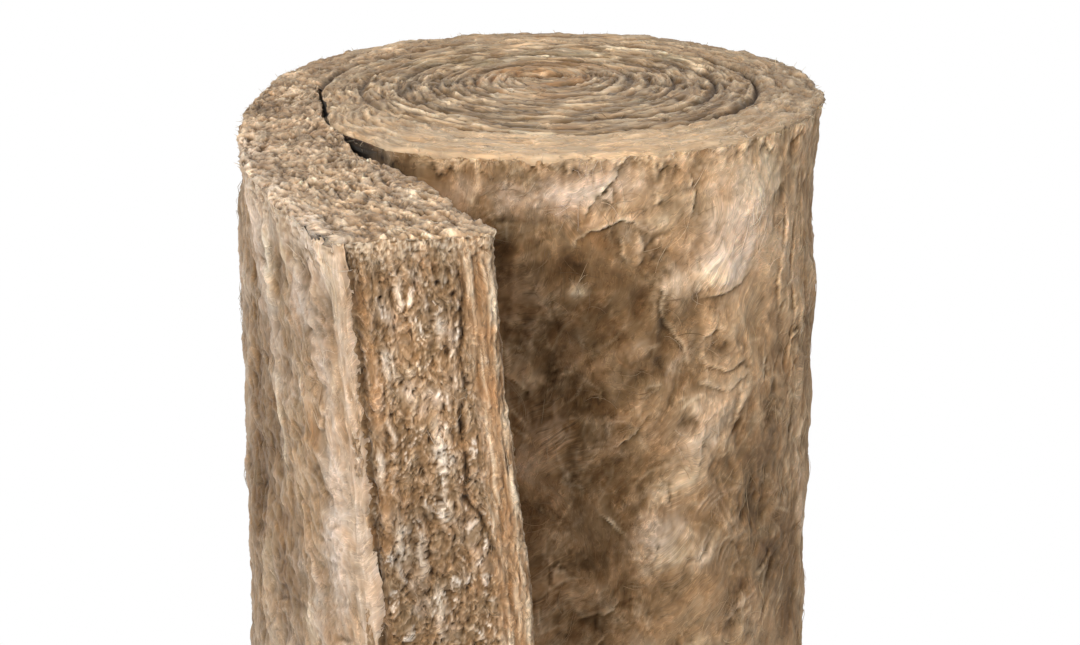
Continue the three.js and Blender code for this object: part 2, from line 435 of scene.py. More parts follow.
def rounded_corner(before, corner, after):
    """Points of a corner's rounding, without the two that lie on its straight sides."""
    start, end = (corner + unit(side - corner) * CORNER for side in (before, after))
    t = np.linspace(0, 1, 17)[1:-1, None]
    return (1 - t) ** 2 * start + 2 * t * (1 - t) * corner + t * t * end


def outline(belly):
    """The roll's outline seen from above at one belly, as named runs of points."""
    skew = FREE_THICKNESS / 2 * math.tan(CUT_SKEW)
    ends = FREE_LENGTH - skew, FREE_LENGTH + skew
    turns = np.linspace(CREVICE_ROOT, 0.0, COIL_POINTS, endpoint=False)
    coil = seam_point(turns, bulge(-2 * np.pi * COIL_RADIUS * turns, belly))
    outer = free_side(np.array(ends[0]), -1, belly)
    inner = free_side(np.array(ends[1]), 1, belly)
    out_run = free_side(np.linspace(0, ends[0] - CORNER, 240), -1, belly)
    in_run = free_side(np.linspace(ends[1] - CORNER, 0, 240), 1, belly)
    step = unit(inner - outer) * CORNER
    cut = outer + step + (inner - outer - 2 * step) * np.linspace(0, 1, 80)[:, None]
    return dict(
        coil=coil,
        outside=out_run,
        corner_a=rounded_corner(out_run[-1], outer, inner),
        cut=cut,
        corner_b=rounded_corner(outer, inner, in_run[0]),
        inside=in_run,
        root=seam_point(np.linspace(1.0, CREVICE_ROOT, 12), CREVICE_GAP),
    )


def measured_outline():
    """How far along the outline each of its points is, the points at belly 0 and 1, and where its runs start."""
    runs_0, runs_1 = outline(0.0), outline(1.0)
    raw_0, raw_1 = (np.concatenate(list(r.values())) for r in (runs_0, runs_1))
    u = reached(norm(np.diff(raw_0, axis=0)))
    index = dict(zip(runs_0, np.cumsum([0] + [len(r) for r in runs_0.values()])))
    marks = {name: u[k] for name, k in index.items()}
    marks["end"] = u[-1]
    coil = np.linspace(CREVICE_ROOT, 0.0, COIL_POINTS, endpoint=False)
    turns = np.concatenate([coil, np.full(len(u) - COIL_POINTS, -1.0)])
    return u, raw_0, raw_1, turns, marks


RAW_U, RAW_0, RAW_1, RAW_W, MARK = measured_outline()


def plan_at(u):
    """Plan points and outward normals at places along the outline, each at belly 0 and 1."""
    lines = [np.stack([np.interp(u, RAW_U, raw[:, k]) for k in (0, 1)], -1) for raw in (RAW_0, RAW_1)]
    return lines, [unit(np.gradient(line, axis=0))[:, ::-1] * (1, -1) for line in lines]


def winding_u(w):
    """How far along the outline the coil's skin reaches a winding."""
    k = RAW_W >= 0
    return float(np.interp(-w, -RAW_W[k], RAW_U[k]))


class Rows:
    """Rows of a side grid from the bottom rim's tuck to the top rim's: heights, insets and slopes."""

    def __init__(self, step):
        turn = np.linspace(0, 1, 5)[1:] * math.pi / 2
        plain = np.arange(round((HEIGHT - 2 * RIM) / step) + 1)
        plain = RIM + plain * (HEIGHT - 2 * RIM) / plain[-1]
        rim_z = HEIGHT - RIM + 0.3 * RIM * np.sin(turn)
        rim_in = RIM * (1 - np.cos(turn))
        up_z = np.concatenate([rim_z, HEIGHT - TUCK_DROP])
        up_in = np.concatenate([rim_in, RIM + TUCK_IN])
        self.z = np.concatenate([HEIGHT - up_z[::-1], plain, up_z])
        self.inset = np.concatenate([up_in[::-1], 0 * plain, up_in])
        arc = np.concatenate([RIM * turn, RIM * math.pi / 2 + TUCK_RUN])
        self.place = np.concatenate([RIM - arc[::-1], plain, HEIGHT - RIM + arc])
        lean = np.concatenate([turn, [math.pi / 2] * len(TUCK_RUN)])
        self.lean = np.concatenate([-lean[::-1], 0 * plain, lean])
        self.rim = len(lean)
        self.belly = 1 - (self.z / (HEIGHT / 2) - 1) ** 2


def gap_beside(u):
    """Distance from each plan point to the nearest skin that faces it."""
    (line, _), (normal, _) = plan_at(u)
    out = np.empty(len(u))
    for i in range(len(u)):
        away = line - line[i]
        d = norm(away)
        facing = (away @ normal[i] > 0) & (normal @ normal[i] < -0.3)
        out[i] = d[facing].min() if facing.any() else 1e3
    return out


# --- Relief and colour of the skin ----------------------------------------------------------------------


def fibre_frame(u, z, degrees, seed):
    """Wavy coordinates across and along fibres that lean by an angle from upright."""
    t = math.radians(degrees)
    across = u * math.cos(t) - z * math.sin(t)
    along = u * math.sin(t) + z * math.cos(t)
    across = across + 38 * noise(seed, u / 110, z / 130, 2) + 4 * noise(seed + 1, u / 24, z / 30)
    along = along + 38 * noise(seed + 2, u / 90, z / 110)
    return across, along


STRIDE = 1.6  # how far a wisp runs between two of its points


class Skin(Painted):
    """Relief, colour and fibre flow on a grid of places along the outline and up the roll, in layers."""

    def __init__(self, u, z):
        self.u, self.z = np.meshgrid(u, z)
        self.du, self.dz = u[1] - u[0], np.median(np.diff(z))
        u, z = self.u, self.z
        swell = noise(15, u / 120, z / 170, 2)
        folds = noise(16, u / 42, z / 62, 2)
        knots = noise(17, u / 15, z / 19, 3, 0.6)
        self.h = 4.5 * swell + 2.6 * folds + 0.8 * knots
        clouds = noise(19, (u + 20 * folds) / 70, (z + 25 * swell) / 90, 3) + 0.5 * noise(14, u / 120, z / 150)
        self.ground(TAN, u.shape)
        self.paint(0.95 * smooth(-clouds - 0.3 * folds, -0.25, 0.9), shadow(0.2))
        self.paint(0.85 * smooth(clouds + 0.25 * folds, 0.1, 1.0), mix(PALE, LILAC, 0.4))
        self.paint(0.3 * smooth(knots, 0.2, 1.1), PALE)
        self.flow = np.stack(fibre_frame(u, z, 35, 18), -1)

    def film(self, seed, degrees, size, bias, thick, tint, opacity, crisp=0.0, where=0.0):
        """Lays a torn film of wool over what is there: ragged patches with their own fibre direction."""
        u, z = self.u, self.z
        across, along = fibre_frame(u, z, degrees, seed)
        field = noise(seed + 3, across / size[0], along / size[1], 2) + bias + where
        field = field + 0.10 * noise(seed + 4, u / 13, z / 15, 3, 0.65)
        d = field / np.maximum(np.hypot(*np.gradient(field, self.dz, self.du)), 0.007)  # how far in from its edge
        sharp = smooth(noise(seed + 5, u / 50, z / 55) + crisp, 0.25, 0.85)
        inside = smooth(d, 0, mix(44, 3.0, sharp))
        hold = smooth(noise(seed + 6, across / 30, along / 55, 2), -0.8, 0.7)
        cover = inside * opacity * mix(0.25, 1.0, hold)
        wide = noise(seed + 7, across / 9, along / 75, 2)
        fine = noise(seed + 8, across / 4.2, along / 38, 2)
        streak = 0.65 * wide + 0.4 * fine
        self.h = mix(self.h, blur(self.h, 4, 4) + thick, cover) + cover * (0.5 * wide + 0.2 * fine)
        self.colour = mix(self.colour, tint * (1 + 0.16 * streak)[..., None], cover[..., None])
        # Painted highlight along the film's raised edge, and painted shade in the crease beside it
        lip = sharp * near(d - 2.2, 2.6) * (0.4 + 0.6 * inside)
        crease = sharp * np.where(d < 0, np.exp(d / 4.5), np.exp(-d / 1.2))
        self.h += 1.2 * lip - 1.8 * crease
        self.paint(0.4 * lip, CREAM)
        self.paint(0.6 * crease, DEEP)

    def wisps(self, mask, seed, count, length, tone, amount, lift, soften, clumps, lock, spread):
        """Draws curling strands, which lie together in clumps, into the colour and the relief.

        With lock above 1, that many strands side by side make each brushed lock. The mask thins them out.
        """
        rng = np.random.default_rng(seed)
        n_z, n_u = self.u.shape
        x, y = rng.uniform(0, n_u - 1, count), rng.uniform(0, n_z - 1, count)
        weight = rng.uniform(0.3, 1.0, count) ** 1.5 * mask[y.astype(int), x.astype(int)]
        x, y, weight = (np.repeat(v, lock) for v in (x, y, weight))
        if lock > 1:
            x, y = x + rng.normal(0, spread / self.du, len(x)), y + rng.normal(0, spread / self.dz, len(y))
            x, y = np.clip(x, 0, n_u - 1), np.clip(y, 0, n_z - 1)
            weight = weight * rng.uniform(0.4, 1.0, len(x))
        own = np.repeat(rng.normal(0, 0.035, count), lock)
        turned = np.repeat(rng.normal(0, 0.45, count), lock) + (rng.normal(0, 0.12, len(x)) if lock > 1 else 0)
        sized = length * rng.uniform(0.5, 1.5, len(x))
        lie = 2.6 * noise(seed + 1, self.u / (2.2 * clumps), self.z / (2.6 * clumps), 2)
        bend = noise(seed + 2, self.u / clumps, self.z / clumps, 2) * 0.07

        def below(field):
            return field[np.clip(y.astype(int), 0, n_z - 1), np.clip(x.astype(int), 0, n_u - 1)]

        heading = below(lie) + turned
        spots, parts = [], []
        for k in range(int(1.5 * length / STRIDE)):
            heading = heading + STRIDE * (own + below(bend))
            x, y = x + STRIDE * np.sin(heading) / self.du, y + STRIDE * np.cos(heading) / self.dz
            w = weight * np.sin(math.pi * np.clip(k * STRIDE / sized, 0, 1))
            ix, iy = np.floor(x).astype(int), np.floor(y).astype(int)
            ok = (ix >= 0) & (iy >= 0) & (ix < n_u - 1) & (iy < n_z - 1) & (w > 0)
            corner = (iy * n_u + ix)[ok]
            fx, fy, w = (x - ix)[ok], (y - iy)[ok], w[ok]
            spots += [corner, corner + 1, corner + n_u, corner + n_u + 1]
            parts += [w * (1 - fx) * (1 - fy), w * fx * (1 - fy), w * (1 - fx) * fy, w * fx * fy]
        m = np.bincount(np.concatenate(spots), np.concatenate(parts), n_z * n_u).reshape(n_z, n_u)
        if soften:
            m = blur(blur(m, soften, soften), soften, soften) * (1 + 1.5 * soften)
        m = 1 - np.exp(-1.1 * m)
        self.paint(amount * m, tone)
        self.h = self.h + lift * m

    def lap(self, points, lift, fade, dig, tint, ragged, lip, dark):
        """A raised edge of film along a curve, lying to the left of its direction of travel, over a dark crease.

        The film rises by lift and fades over fade, the crease digs in by dig, ragged breaks the edge's line up,
        and lip and dark are how strongly the painted highlight on the edge and the painted shade in the crease show.
        """
        curve = spline(np.asarray(points, float))
        reach = fade * 2 + 14
        low, high = curve.min(0) - reach, curve.max(0) + reach
        box = self.box(low[0], high[0], low[1], high[1])
        u, z = self.u[box], self.z[box]
        if not u.size:
            return
        u = u + ragged * noise(5, u / 9, z / 9, 2) + 1.5 * ragged * noise(6, u / 26, z / 26)
        z = z + ragged * noise(7, u / 9, z / 9, 2) + 1.5 * ragged * noise(8, u / 26, z / 26)
        best, side, place = np.full(u.shape, 1e9), np.zeros(u.shape), np.zeros(u.shape)
        for k in range(len(curve) - 1):
            a, b = curve[k], curve[k + 1]
            ab = b - a
            t = np.clip(((u - a[0]) * ab[0] + (z - a[1]) * ab[1]) / (ab @ ab + 1e-9), 0, 1)
            du, dz = u - a[0] - t * ab[0], z - a[1] - t * ab[1]
            d = np.hypot(du, dz)
            closer = d < best
            best = np.where(closer, d, best)
            side = np.where(closer, np.sign(ab[0] * dz - ab[1] * du), side)
            place = np.where(closer, (k + t) / (len(curve) - 1), place)
        d = best * side
        ends = smooth(place, 0.0, 0.3) * (1 - smooth(place, 0.7, 1.0))
        ends = ends * np.clip(0.75 + 0.6 * noise(3, place * 5 + curve[0, 0], 0 * place, 2), 0.15, 1.1)
        above = np.where(d > 0, np.exp(-d / fade) - np.exp(-d / 1.5) * 0.3, 0)
        under = np.where(d <= 0, np.exp(d / 6.0), np.exp(-d / 0.9))
        if tint is not None:
            fill = ends * smooth(d, 0, 3) * (1 - smooth(d, fade * 0.7, fade * 1.8))
            self.paint(0.6 * fill, tint, box)
        self.h[box] += ends * (lift * above - dig * under)
        # Painted highlight along the lifted edge, and painted shade in the crease beneath it
        self.paint(lip * ends * near(d - 1.2, 1.8), CREAM, box)
        shade = ends * np.where(d <= 0, 0.62 * near(d, 3.6) + 0.38 * np.exp(d / 12), 0)
        self.paint(dark * shade, shadow(0.7), box)

    def box(self, u0, u1, z0, z1):
        """Indices of the part of the grid between two corners."""
        rows = np.where((self.z[:, 0] > z0) & (self.z[:, 0] < z1))[0]
        cols = np.where((self.u[0] > u0) & (self.u[0] < u1))[0]
        return np.ix_(rows, cols)

    def patch(self, u0, z0, ru, rz, tint, amount, degrees=0.0, lift=2.0):
        """A soft, cloudy patch of film, or a hollow where lift is negative."""
        reach = 2.0 * max(ru, rz)
        box = self.box(u0 - reach, u0 + reach, z0 - reach, z0 + reach)
        u, z = self.u[box], self.z[box]
        t = math.radians(degrees)
        x = (u - u0) * math.cos(t) + (z - z0) * math.sin(t)
        y = (z - z0) * math.cos(t) - (u - u0) * math.sin(t)
        x = x + 0.45 * ru * noise(9, u / 20, z / 24, 3, 0.6)
        y = y + 0.45 * rz * noise(10, u / 20, z / 24, 3, 0.6)
        m = np.exp(-(np.hypot(x / ru, y / rz) ** 2.2))
        strands = 1 + 0.16 * noise(4, self.flow[box][..., 0] / 4, self.flow[box][..., 1] / 30, 2)
        self.paint(amount * m * strands, tint, box)
        self.h[box] += lift * m

    def finish(self):
        # Painted shade in the relief's hollows and painted light on its rises; then a browner tone overall
        cavity = self.h - blur(self.h, 2, 2)
        hollow = self.h - blur(self.h, 10, 10)
        gain = np.clip(1 + 0.22 * cavity + 0.07 * hollow, 0.4, 1.35)
        relief_light_and_shade = gain[..., None] ** np.array((0.92, 1.0, 1.12))
        self.colour = self.colour * relief_light_and_shade * np.array((1.0, 0.94, 0.82))


def spline(points):
    """A smooth curve through points."""
    p = np.concatenate([[2 * points[0] - points[1]], points, [2 * points[-1] - points[-2]]])
    t = np.linspace(0, 1, 8, endpoint=False)[:, None]
    out = []
    for a, b, c, d in zip(p, p[1:], p[2:], p[3:]):
        out.append(0.5 * (2 * b + (c - a) * t + (2 * a - 5 * b + 4 * c - d) * t**2 + (3 * b - a - 3 * c + d) * t**3))
    return np.concatenate(out + [points[-1:]])


rows = Rows(STEP)
cols_u = np.arange(0, MARK["end"], STEP)
skin = Skin(cols_u, rows.place)
U, Z = skin.u, skin.z
merge = 110 * noise(104, U / 190, Z / 150, 2)  # the free end's look sets in along a wavering line
on_tail = smooth(U + merge, MARK["outside"] - 190, MARK["outside"] + 170) * (U < MARK["inside"])
side = near(U - winding_u(0.545), 75)  # the coil's right side
below_rim = HEIGHT - Z
upright = np.clip(on_tail + side, 0, 1)

skin.film(100, 38, (70, 130), 0.05, 1.0, mix(TAN, DARK, 0.25), 0.8)
skin.film(120, -28, (80, 140), -0.05, 1.6, TAN, 0.8)
skin.film(140, 72, (64, 120), -0.20, 1.4, mix(TAN, RUST, 0.2), 0.7)
skin.film(160, 8, (70, 160), -0.05, 1.8, mix(TAN, PALE, 0.5), 0.75, where=-0.5 * on_tail)
skin.film(180, -52, (60, 110), -0.35, 1.6, PALE, 0.7)
skin.film(200, 25, (64, 130), -0.50, 1.6, mix(LILAC, PALE, 0.4), 0.75)
skin.film(220, -12, (50, 120), -0.45, 1.8, mix(PALE, TAN, 0.3), 0.8, 0.1, where=-0.4 * on_tail)
skin.film(240, 76, (44, 120), -0.9, 1.6, mix(LILAC, TAN, 0.4), 0.8, where=0.9 * on_tail)
skin.film(260, 58, (40, 110), -1.0, 1.8, mix(TAN, DARK, 0.4), 0.8, where=0.9 * on_tail)

fluff = smooth(noise(21, U / 90, Z / 110, 2), -0.6, 0.4) * (1 - 0.55 * on_tail)
fluff *= 1 - 0.75 * spot(U, Z, winding_u(0.625), 1110, 80, 90)
# The dark strands sink in, their darkness painted shade between the locks; the pale ones stand out
for spec in (
    (340, 1300, 52, shadow(0.2), 0.55, -1.6, 1, 60, 9, 5.0),
    (350, 1500, 56, mix(PALE, TAN, 0.3), 0.55, 1.7, 1, 60, 9, 5.0),
    (360, 900, 48, mix(PALE, LILAC, 0.5), 0.55, 1.2, 0, 50, 7, 3.5),
    (300, 7000, 34, DARK, 0.55, -1.1, 1, 34, 1, 0.0),
    (310, 7000, 38, PALE, 0.50, 1.2, 1, 30, 1, 0.0),
    (320, 8000, 28, shadow(0.3), 0.6, -0.7, 0, 26, 1, 0.0),
    (330, 8000, 34, CREAM, 0.55, 0.6, 0, 24, 1, 0.0),
):
    skin.wisps(fluff, *spec)

# Upright folds and streaks on the free end and down the right side
sway = 16 * noise(62, U / 90, Z / 110, 2)
streaks = noise(61, (U + sway) / 26, Z / 150, 3, 0.6)
fine_streaks = noise(63, (U + sway) / 7, Z / 90, 2)
present = upright * smooth(noise(64, U / 70, Z / 130, 2), -0.7, 0.5)
skin.h += present * (1 - 0.8 * on_tail) * (1.9 * streaks + 0.5 * fine_streaks)
drawn = present * (1 - 0.7 * on_tail)
pale_streaks = mix(PALE, LILAC, 0.6)
# Darker where the streaks sink and paler where they rise: partly the wool's own tone, partly painted shade and
# highlight
skin.shade(streaks + 0.3 * fine_streaks, drawn, (-0.5, 0.0, 1.1, DARK), (0.5, 0.1, 1.1, pale_streaks))
shift_u, shift_z = noise(86, U / 30, Z / 36, 2), noise(87, U / 30, Z / 36, 2)
mottle = noise(85, (U + 24 * shift_u) / 62, (Z + 16 * shift_z) / 30, 3, 0.6)
skin.h += on_tail * 3.0 * mottle
# Darker where the mottle sinks and paler where it rises: partly the wool's own tone, partly painted shade and
# highlight
skin.shade(mottle, on_tail, (-0.65, 0.0, 0.9, shadow(0.1)), (0.55, 0.1, 1.0, mix(LILAC, PALE, 0.3)))
milky = noise(70, U / 75, Z / 120, 3) + 0.35 * near(Z - 1150, 90)
skin.shade(milky, on_tail, (0.75, 0.05, 0.9, LILAC))
skin.shade(noise(71, U / 100, Z / 140, 3), on_tail, (0.5, 0.1, 0.9, DARK))

# Pale films and dark hollows on the free end's outer side: how far past its root, height, reach, tint
for u, z, ru, rz, tint, amount in (
    (319, 1190, 34, 40, LILAC, 0.6), (377, 1165, 36, 44, LILAC, 0.75), (493, 1190, 44, 24, LILAC, 0.85),
    (537, 1178, 30, 30, LILAC, 0.7), (441, 1172, 26, 26, PALE, 0.6), (391, 1120, 22, 34, CREAM, 0.5),
    (456, 1140, 20, 22, RUST, 0.45), (491, 1112, 26, 34, LILAC, 0.6), (416, 1060, 30, 44, DARK, 0.5),
    (481, 1050, 22, 40, PALE, 0.5), (353, 990, 12, 46, DARK, 0.7), (333, 925, 14, 44, DARK, 0.7),
    (491, 1005, 14, 22, RUST, 0.55), (529, 968, 20, 60, LILAC, 0.8), (517, 880, 22, 60, LILAC, 0.85),
    (431, 940, 30, 44, PALE, 0.5), (271, 880, 30, 80, DARK, 0.6), (291, 1030, 34, 70, DARK, 0.45),
    (341, 1090, 16, 40, LILAC, 0.4), (451, 880, 26, 40, TAN, 0.5), (371, 810, 26, 44, DARK, 0.55),
    (463, 815, 26, 44, LILAC, 0.6), (411, 860, 14, 40, LILAC, 0.4), (301, 780, 30, 50, PALE, 0.4),
    (381, 1010, 18, 40, PALE, 0.45), (391, 720, 30, 60, LILAC, 0.5), (335, 1152, 26, 44, LILAC, 0.55),
    (385, 1140, 7, 34, CREAM, 0.7), (445, 1150, 7, 34, CREAM, 0.6), (551, 1165, 12, 34, CREAM, 0.6),
    (409, 1128, 12, 22, DARK, 0.8), (493, 1150, 22, 20, DARK, 0.7), (471, 1152, 8, 12, CREAM, 0.6),
    (511, 1142, 8, 12, PALE, 0.6), (369, 965, 10, 60, DARK, 0.8), (301, 920, 34, 90, DARK, 0.7),
    (391, 965, 6, 60, CREAM, 0.5), (281, 1000, 20, 80, DARK, 0.5), (405, 900, 26, 40, DARK, 0.5),
    (417, 845, 30, 30, DARK, 0.4), (481, 1085, 20, 26, DARK, 0.5), (521, 1060, 16, 60, LILAC, 0.5),
):
    # Dark patches sink in as hollows, their darkness painted shade; the others stand out as film
    skin.patch(MARK["outside"] + u, z, ru, rz, tint, amount, 0.0, -3.5 if tint is DARK else 1.8)
# Cloudy patches everywhere: dark where they sink in, their darkness painted shade, and pale where they stand out
rng = np.random.default_rng(6)
for _ in range(420):
    u, z, size = rng.uniform(0, MARK["end"]), rng.uniform(10, 1190), rng.uniform(7, 22)
    tint = (DARK, shadow(0.4), PALE, LILAC, CREAM, mix(TAN, RUST, 0.6))[rng.integers(6)]
    tall = 1.0 + rng.uniform(0.2, 1.6) * (MARK["outside"] < u < MARK["inside"])
    lift = -2.0 if tint[0] < 0.3 else 1.2
    skin.patch(u, z, size, size * tall, tint, rng.uniform(0.2, 0.5), rng.uniform(-50, 50) / tall, lift)
# Long upright folds of film on the free end
rng = np.random.default_rng(5)
for _ in range(7):
    start = rng.uniform(MARK["outside"] - 120, MARK["cut"] - 40), rng.uniform(150, 1190)
    drop = rng.uniform(90, 260) / 3
    points = [start]
    for _ in range(3):
        points.append((points[-1][0] + rng.normal(0, 12), points[-1][1] - drop))
    points = points if rng.random() < 0.5 else points[::-1]
    skin.lap(points, 2.6, rng.uniform(22, 40), 1.6, None, 5.0, rng.uniform(0.0, 0.15), 0.45)

# The film is gathered under the rim, and hangs down from it in short torn tongues
gather = np.exp(-below_rim / 42) * (1 - 0.75 * on_tail)
pleats = noise(65, (U + 12 * noise(66, U / 40, Z / 60, 2)) / 17, Z / 90, 3, 0.6)
skin.h += 2.2 * gather * pleats
# Painted highlight on the pleats' crests and painted shade in their folds
skin.shade(pleats, gather, (0.5, 0.0, 0.9, CREAM), (-0.65, 0.1, 0.9, DARK))
curls = 1 - 2.2 * np.abs(noise(78, U / 7, Z / 5, 2, 0.6))
fringe = near(below_rim - 4, 8) * smooth(noise(79, U / 60, 0 * Z, 2), -0.4, 0.4) * (1 - 0.8 * on_tail)
fringe *= smooth(U, winding_u(0.83), winding_u(0.80))
skin.h += 1.2 * fringe * curls
# Pale curls along the rim, with painted shade between them
skin.shade(curls, fringe, (0.9, 0.2, 0.9, mix(CREAM, RUST, 0.25)), (-0.6, 0.0, 0.8, DARK))
tongue = 17 + 13 * noise(67, U / 24, 0 * Z, 2) + 5 * noise(68, U / 6, Z / 20)
d = tongue - below_rim
cut_off = smooth(noise(69, U / 30, 0 * Z), -0.3, 0.5) * (1 - 0.8 * on_tail)
skin.h += cut_off * (1.6 * smooth(d, 0, 5) - 2.2 * np.where(d < 0, np.exp(d / 5), 0))
skin.paint(0.45 * cut_off * smooth(d, 0, 6), PALE)
# Painted shadow under each tongue's lower edge
skin.paint(0.65 * cut_off * np.where(d < 0, np.exp(d / 4.5), 0), DEEP)

# What the front of the coil shows, by winding and height: pale cloudy film at the top, a pale band that slants
# down to the left, dark hollows beside it in painted shade, and the larger tears and curls, with painted highlight
# on their lifted edges and painted shade beneath
for w, z, ru, rz, tint, amount, tilt in (
    (0.738, 1160, 30, 20, LILAC, 0.75, 20), (0.714, 1170, 34, 16, LILAC, 0.55, 0),
    (0.765, 1158, 14, 14, LILAC, 0.5, 0), (0.789, 1165, 28, 15, LILAC, 0.25, 10),
    (0.690, 1160, 30, 26, PALE, 0.3, 0), (0.640, 1148, 56, 46, PALE, 0.5, 0),
    (0.628, 1118, 40, 40, LILAC, 0.7, -15), (0.648, 1080, 44, 19, LILAC, 0.85, 12),
    (0.606, 1080, 30, 46, PALE, 0.55, 0), (0.612, 1160, 26, 30, CREAM, 0.5, 0),
    (0.671, 1064, 28, 16, PALE, 0.55, 0), (0.655, 1072, 20, 14, CREAM, 0.5, 0),
    (0.575, 1120, 22, 60, PALE, 0.4, 0), (0.641, 1012, 26, 20, PALE, 0.5, 0),
    (0.634, 955, 22, 36, PALE, 0.6, -30), (0.653, 915, 24, 38, mix(LILAC, PALE, 0.5), 0.65, -30),
    (0.666, 874, 24, 30, PALE, 0.55, -30), (0.670, 866, 24, 14, CREAM, 0.45, 20),
    (0.681, 817, 28, 26, mix(LILAC, PALE, 0.4), 0.75, -15), (0.670, 792, 26, 16, CREAM, 0.5, 0),
    (0.655, 735, 24, 28, PALE, 0.35, -20), (0.640, 680, 26, 30, PALE, 0.3, -20),
    (0.735, 690, 18, 20, CREAM, 0.45, 0), (0.745, 905, 16, 16, PALE, 0.25, 0),
):
    skin.patch(winding_u(w), z, ru, rz, tint, amount, tilt, 2.2)
for w, z, ru, rz, amount, depth in (
    (0.745, 1128, 34, 22, 0.4, 3.0), (0.720, 1120, 30, 16, 0.35, 2.0), (0.705, 900, 44, 40, 0.4, 3.0),
    (0.712, 840, 44, 40, 0.4, 3.0), (0.690, 760, 34, 30, 0.35, 3.0), (0.620, 860, 26, 60, 0.35, 3.0),
    (0.615, 770, 34, 60, 0.35, 3.0), (0.738, 1090, 36, 15, 0.65, 4.5), (0.705, 1072, 40, 24, 0.5, 4.0),
    (0.731, 1096, 14, 12, 0.6, 3.5), (0.715, 1034, 26, 26, 0.7, 5.5), (0.749, 1030, 36, 28, 0.55, 4.0),
    (0.738, 972, 42, 32, 0.5, 4.0), (0.770, 1105, 12, 34, 0.6, 3.0), (0.694, 1052, 12, 18, 0.6, 4.0),
    (0.679, 1032, 8, 22, 0.6, 4.0), (0.6434, 998, 13, 10, 0.75, 4.0), (0.690, 985, 22, 18, 0.45, 4.0),
    (0.665, 925, 10, 10, 0.5, 3.5), (0.598, 892, 16, 38, 0.65, 5.0), (0.611, 822, 20, 26, 0.65, 5.0),
    (0.588, 744, 24, 32, 0.65, 5.0), (0.562, 690, 24, 34, 0.5, 4.0), (0.718, 890, 22, 14, 0.45, 3.5),
    (0.715, 797, 28, 18, 0.65, 5.0), (0.722, 735, 30, 22, 0.6, 5.0), (0.700, 760, 12, 18, 0.4, 3.0),
):
    skin.patch(winding_u(w), z, ru, rz, shadow(0.5), amount, 0.0, -depth)
skin.patch(winding_u(0.7291), 1069, 8, 7, CREAM, 0.7, 0, 2.0)
for places, lift, fade, dig, lip, dark in (
    (((0.7250, 1132), (0.7203, 1156), (0.7110, 1172), (0.7000, 1204)), 3.5, 30, 2.0, 0.6, 0.6),
    (((0.7310, 1106), (0.7260, 1121), (0.7110, 1131), (0.7000, 1133), (0.6880, 1116)), 2.6, 22, 2.6, 0.7, 0.7),
    (((0.7065, 1126), (0.7050, 1106), (0.7000, 1092)), 1.6, 10, 1.4, 0.3, 0.5),
    (((0.6990, 1084), (0.6915, 1099), (0.6925, 1124)), 1.4, 12, 1.2, 0.2, 0.4),
    (((0.6850, 1085), (0.6811, 1062), (0.6808, 1039), (0.6696, 1006), (0.6590, 956)), 2.6, 26, 2.2, 0.35, 0.7),
    (((0.6600, 990), (0.6500, 977), (0.6380, 972), (0.6200, 985)), 2.0, 16, 1.8, 0.35, 0.55),
    (((0.6640, 970), (0.6500, 958), (0.6380, 953), (0.6150, 966)), 1.8, 12, 1.6, 0.3, 0.45),
    (((0.6590, 1004), (0.6500, 1015), (0.6380, 1014)), 1.8, 12, 1.4, 0.35, 0.4),
    (((0.6640, 1126), (0.6642, 1150), (0.6680, 1180)), 2.0, 16, 1.8, 0.3, 0.6),
    (((0.6650, 1052), (0.6420, 1048), (0.6200, 1064)), 1.8, 22, 1.6, 0.2, 0.45),
    (((0.7150, 905), (0.6980, 925), (0.6850, 950)), 2.0, 20, 1.6, 0.25, 0.5),
    (((0.7170, 850), (0.7090, 832), (0.7020, 815)), 1.8, 8, 1.4, 0.6, 0.5),
    (((0.7300, 690), (0.7200, 700), (0.7080, 722)), 2.2, 20, 2.4, 0.3, 0.7),
    (((0.5980, 1150), (0.5890, 1100), (0.5960, 1040), (0.5880, 990)), 2.4, 20, 1.6, 0.1, 0.5),
    (((0.5730, 1120), (0.5780, 1060), (0.5750, 1000), (0.5830, 930)), 2.4, 18, 1.6, 0.1, 0.5),
):
    skin.lap([(winding_u(w), z) for w, z in places], lift, fade, dig, None, 2.0, lip, dark)

# Smaller laps everywhere, except where the front has its own
rng = np.random.default_rng(7)
for _ in range(80):
    start = np.array((rng.uniform(0, MARK["end"]), rng.uniform(30, HEIGHT - 30)))
    if winding_u(0.76) < start[0] < winding_u(0.58) and start[1] > 950:
        continue
    heading = rng.uniform(0, 2 * math.pi)
    bend = rng.normal(0, 0.75)
    length = rng.uniform(12, 32)
    points = [start]
    for _ in range(3):
        points.append(points[-1] + length * np.array((math.cos(heading), math.sin(heading))))
        heading += bend
    tint = (None, None, TAN, PALE)[rng.integers(4)]
    lift, fade, dig = rng.uniform(1.0, 2.4), rng.uniform(14, 34), rng.uniform(0.6, 1.6)
    skin.lap(points, lift, fade, dig, tint, 3.0, rng.uniform(0.05, 0.3), rng.uniform(0.2, 0.5))

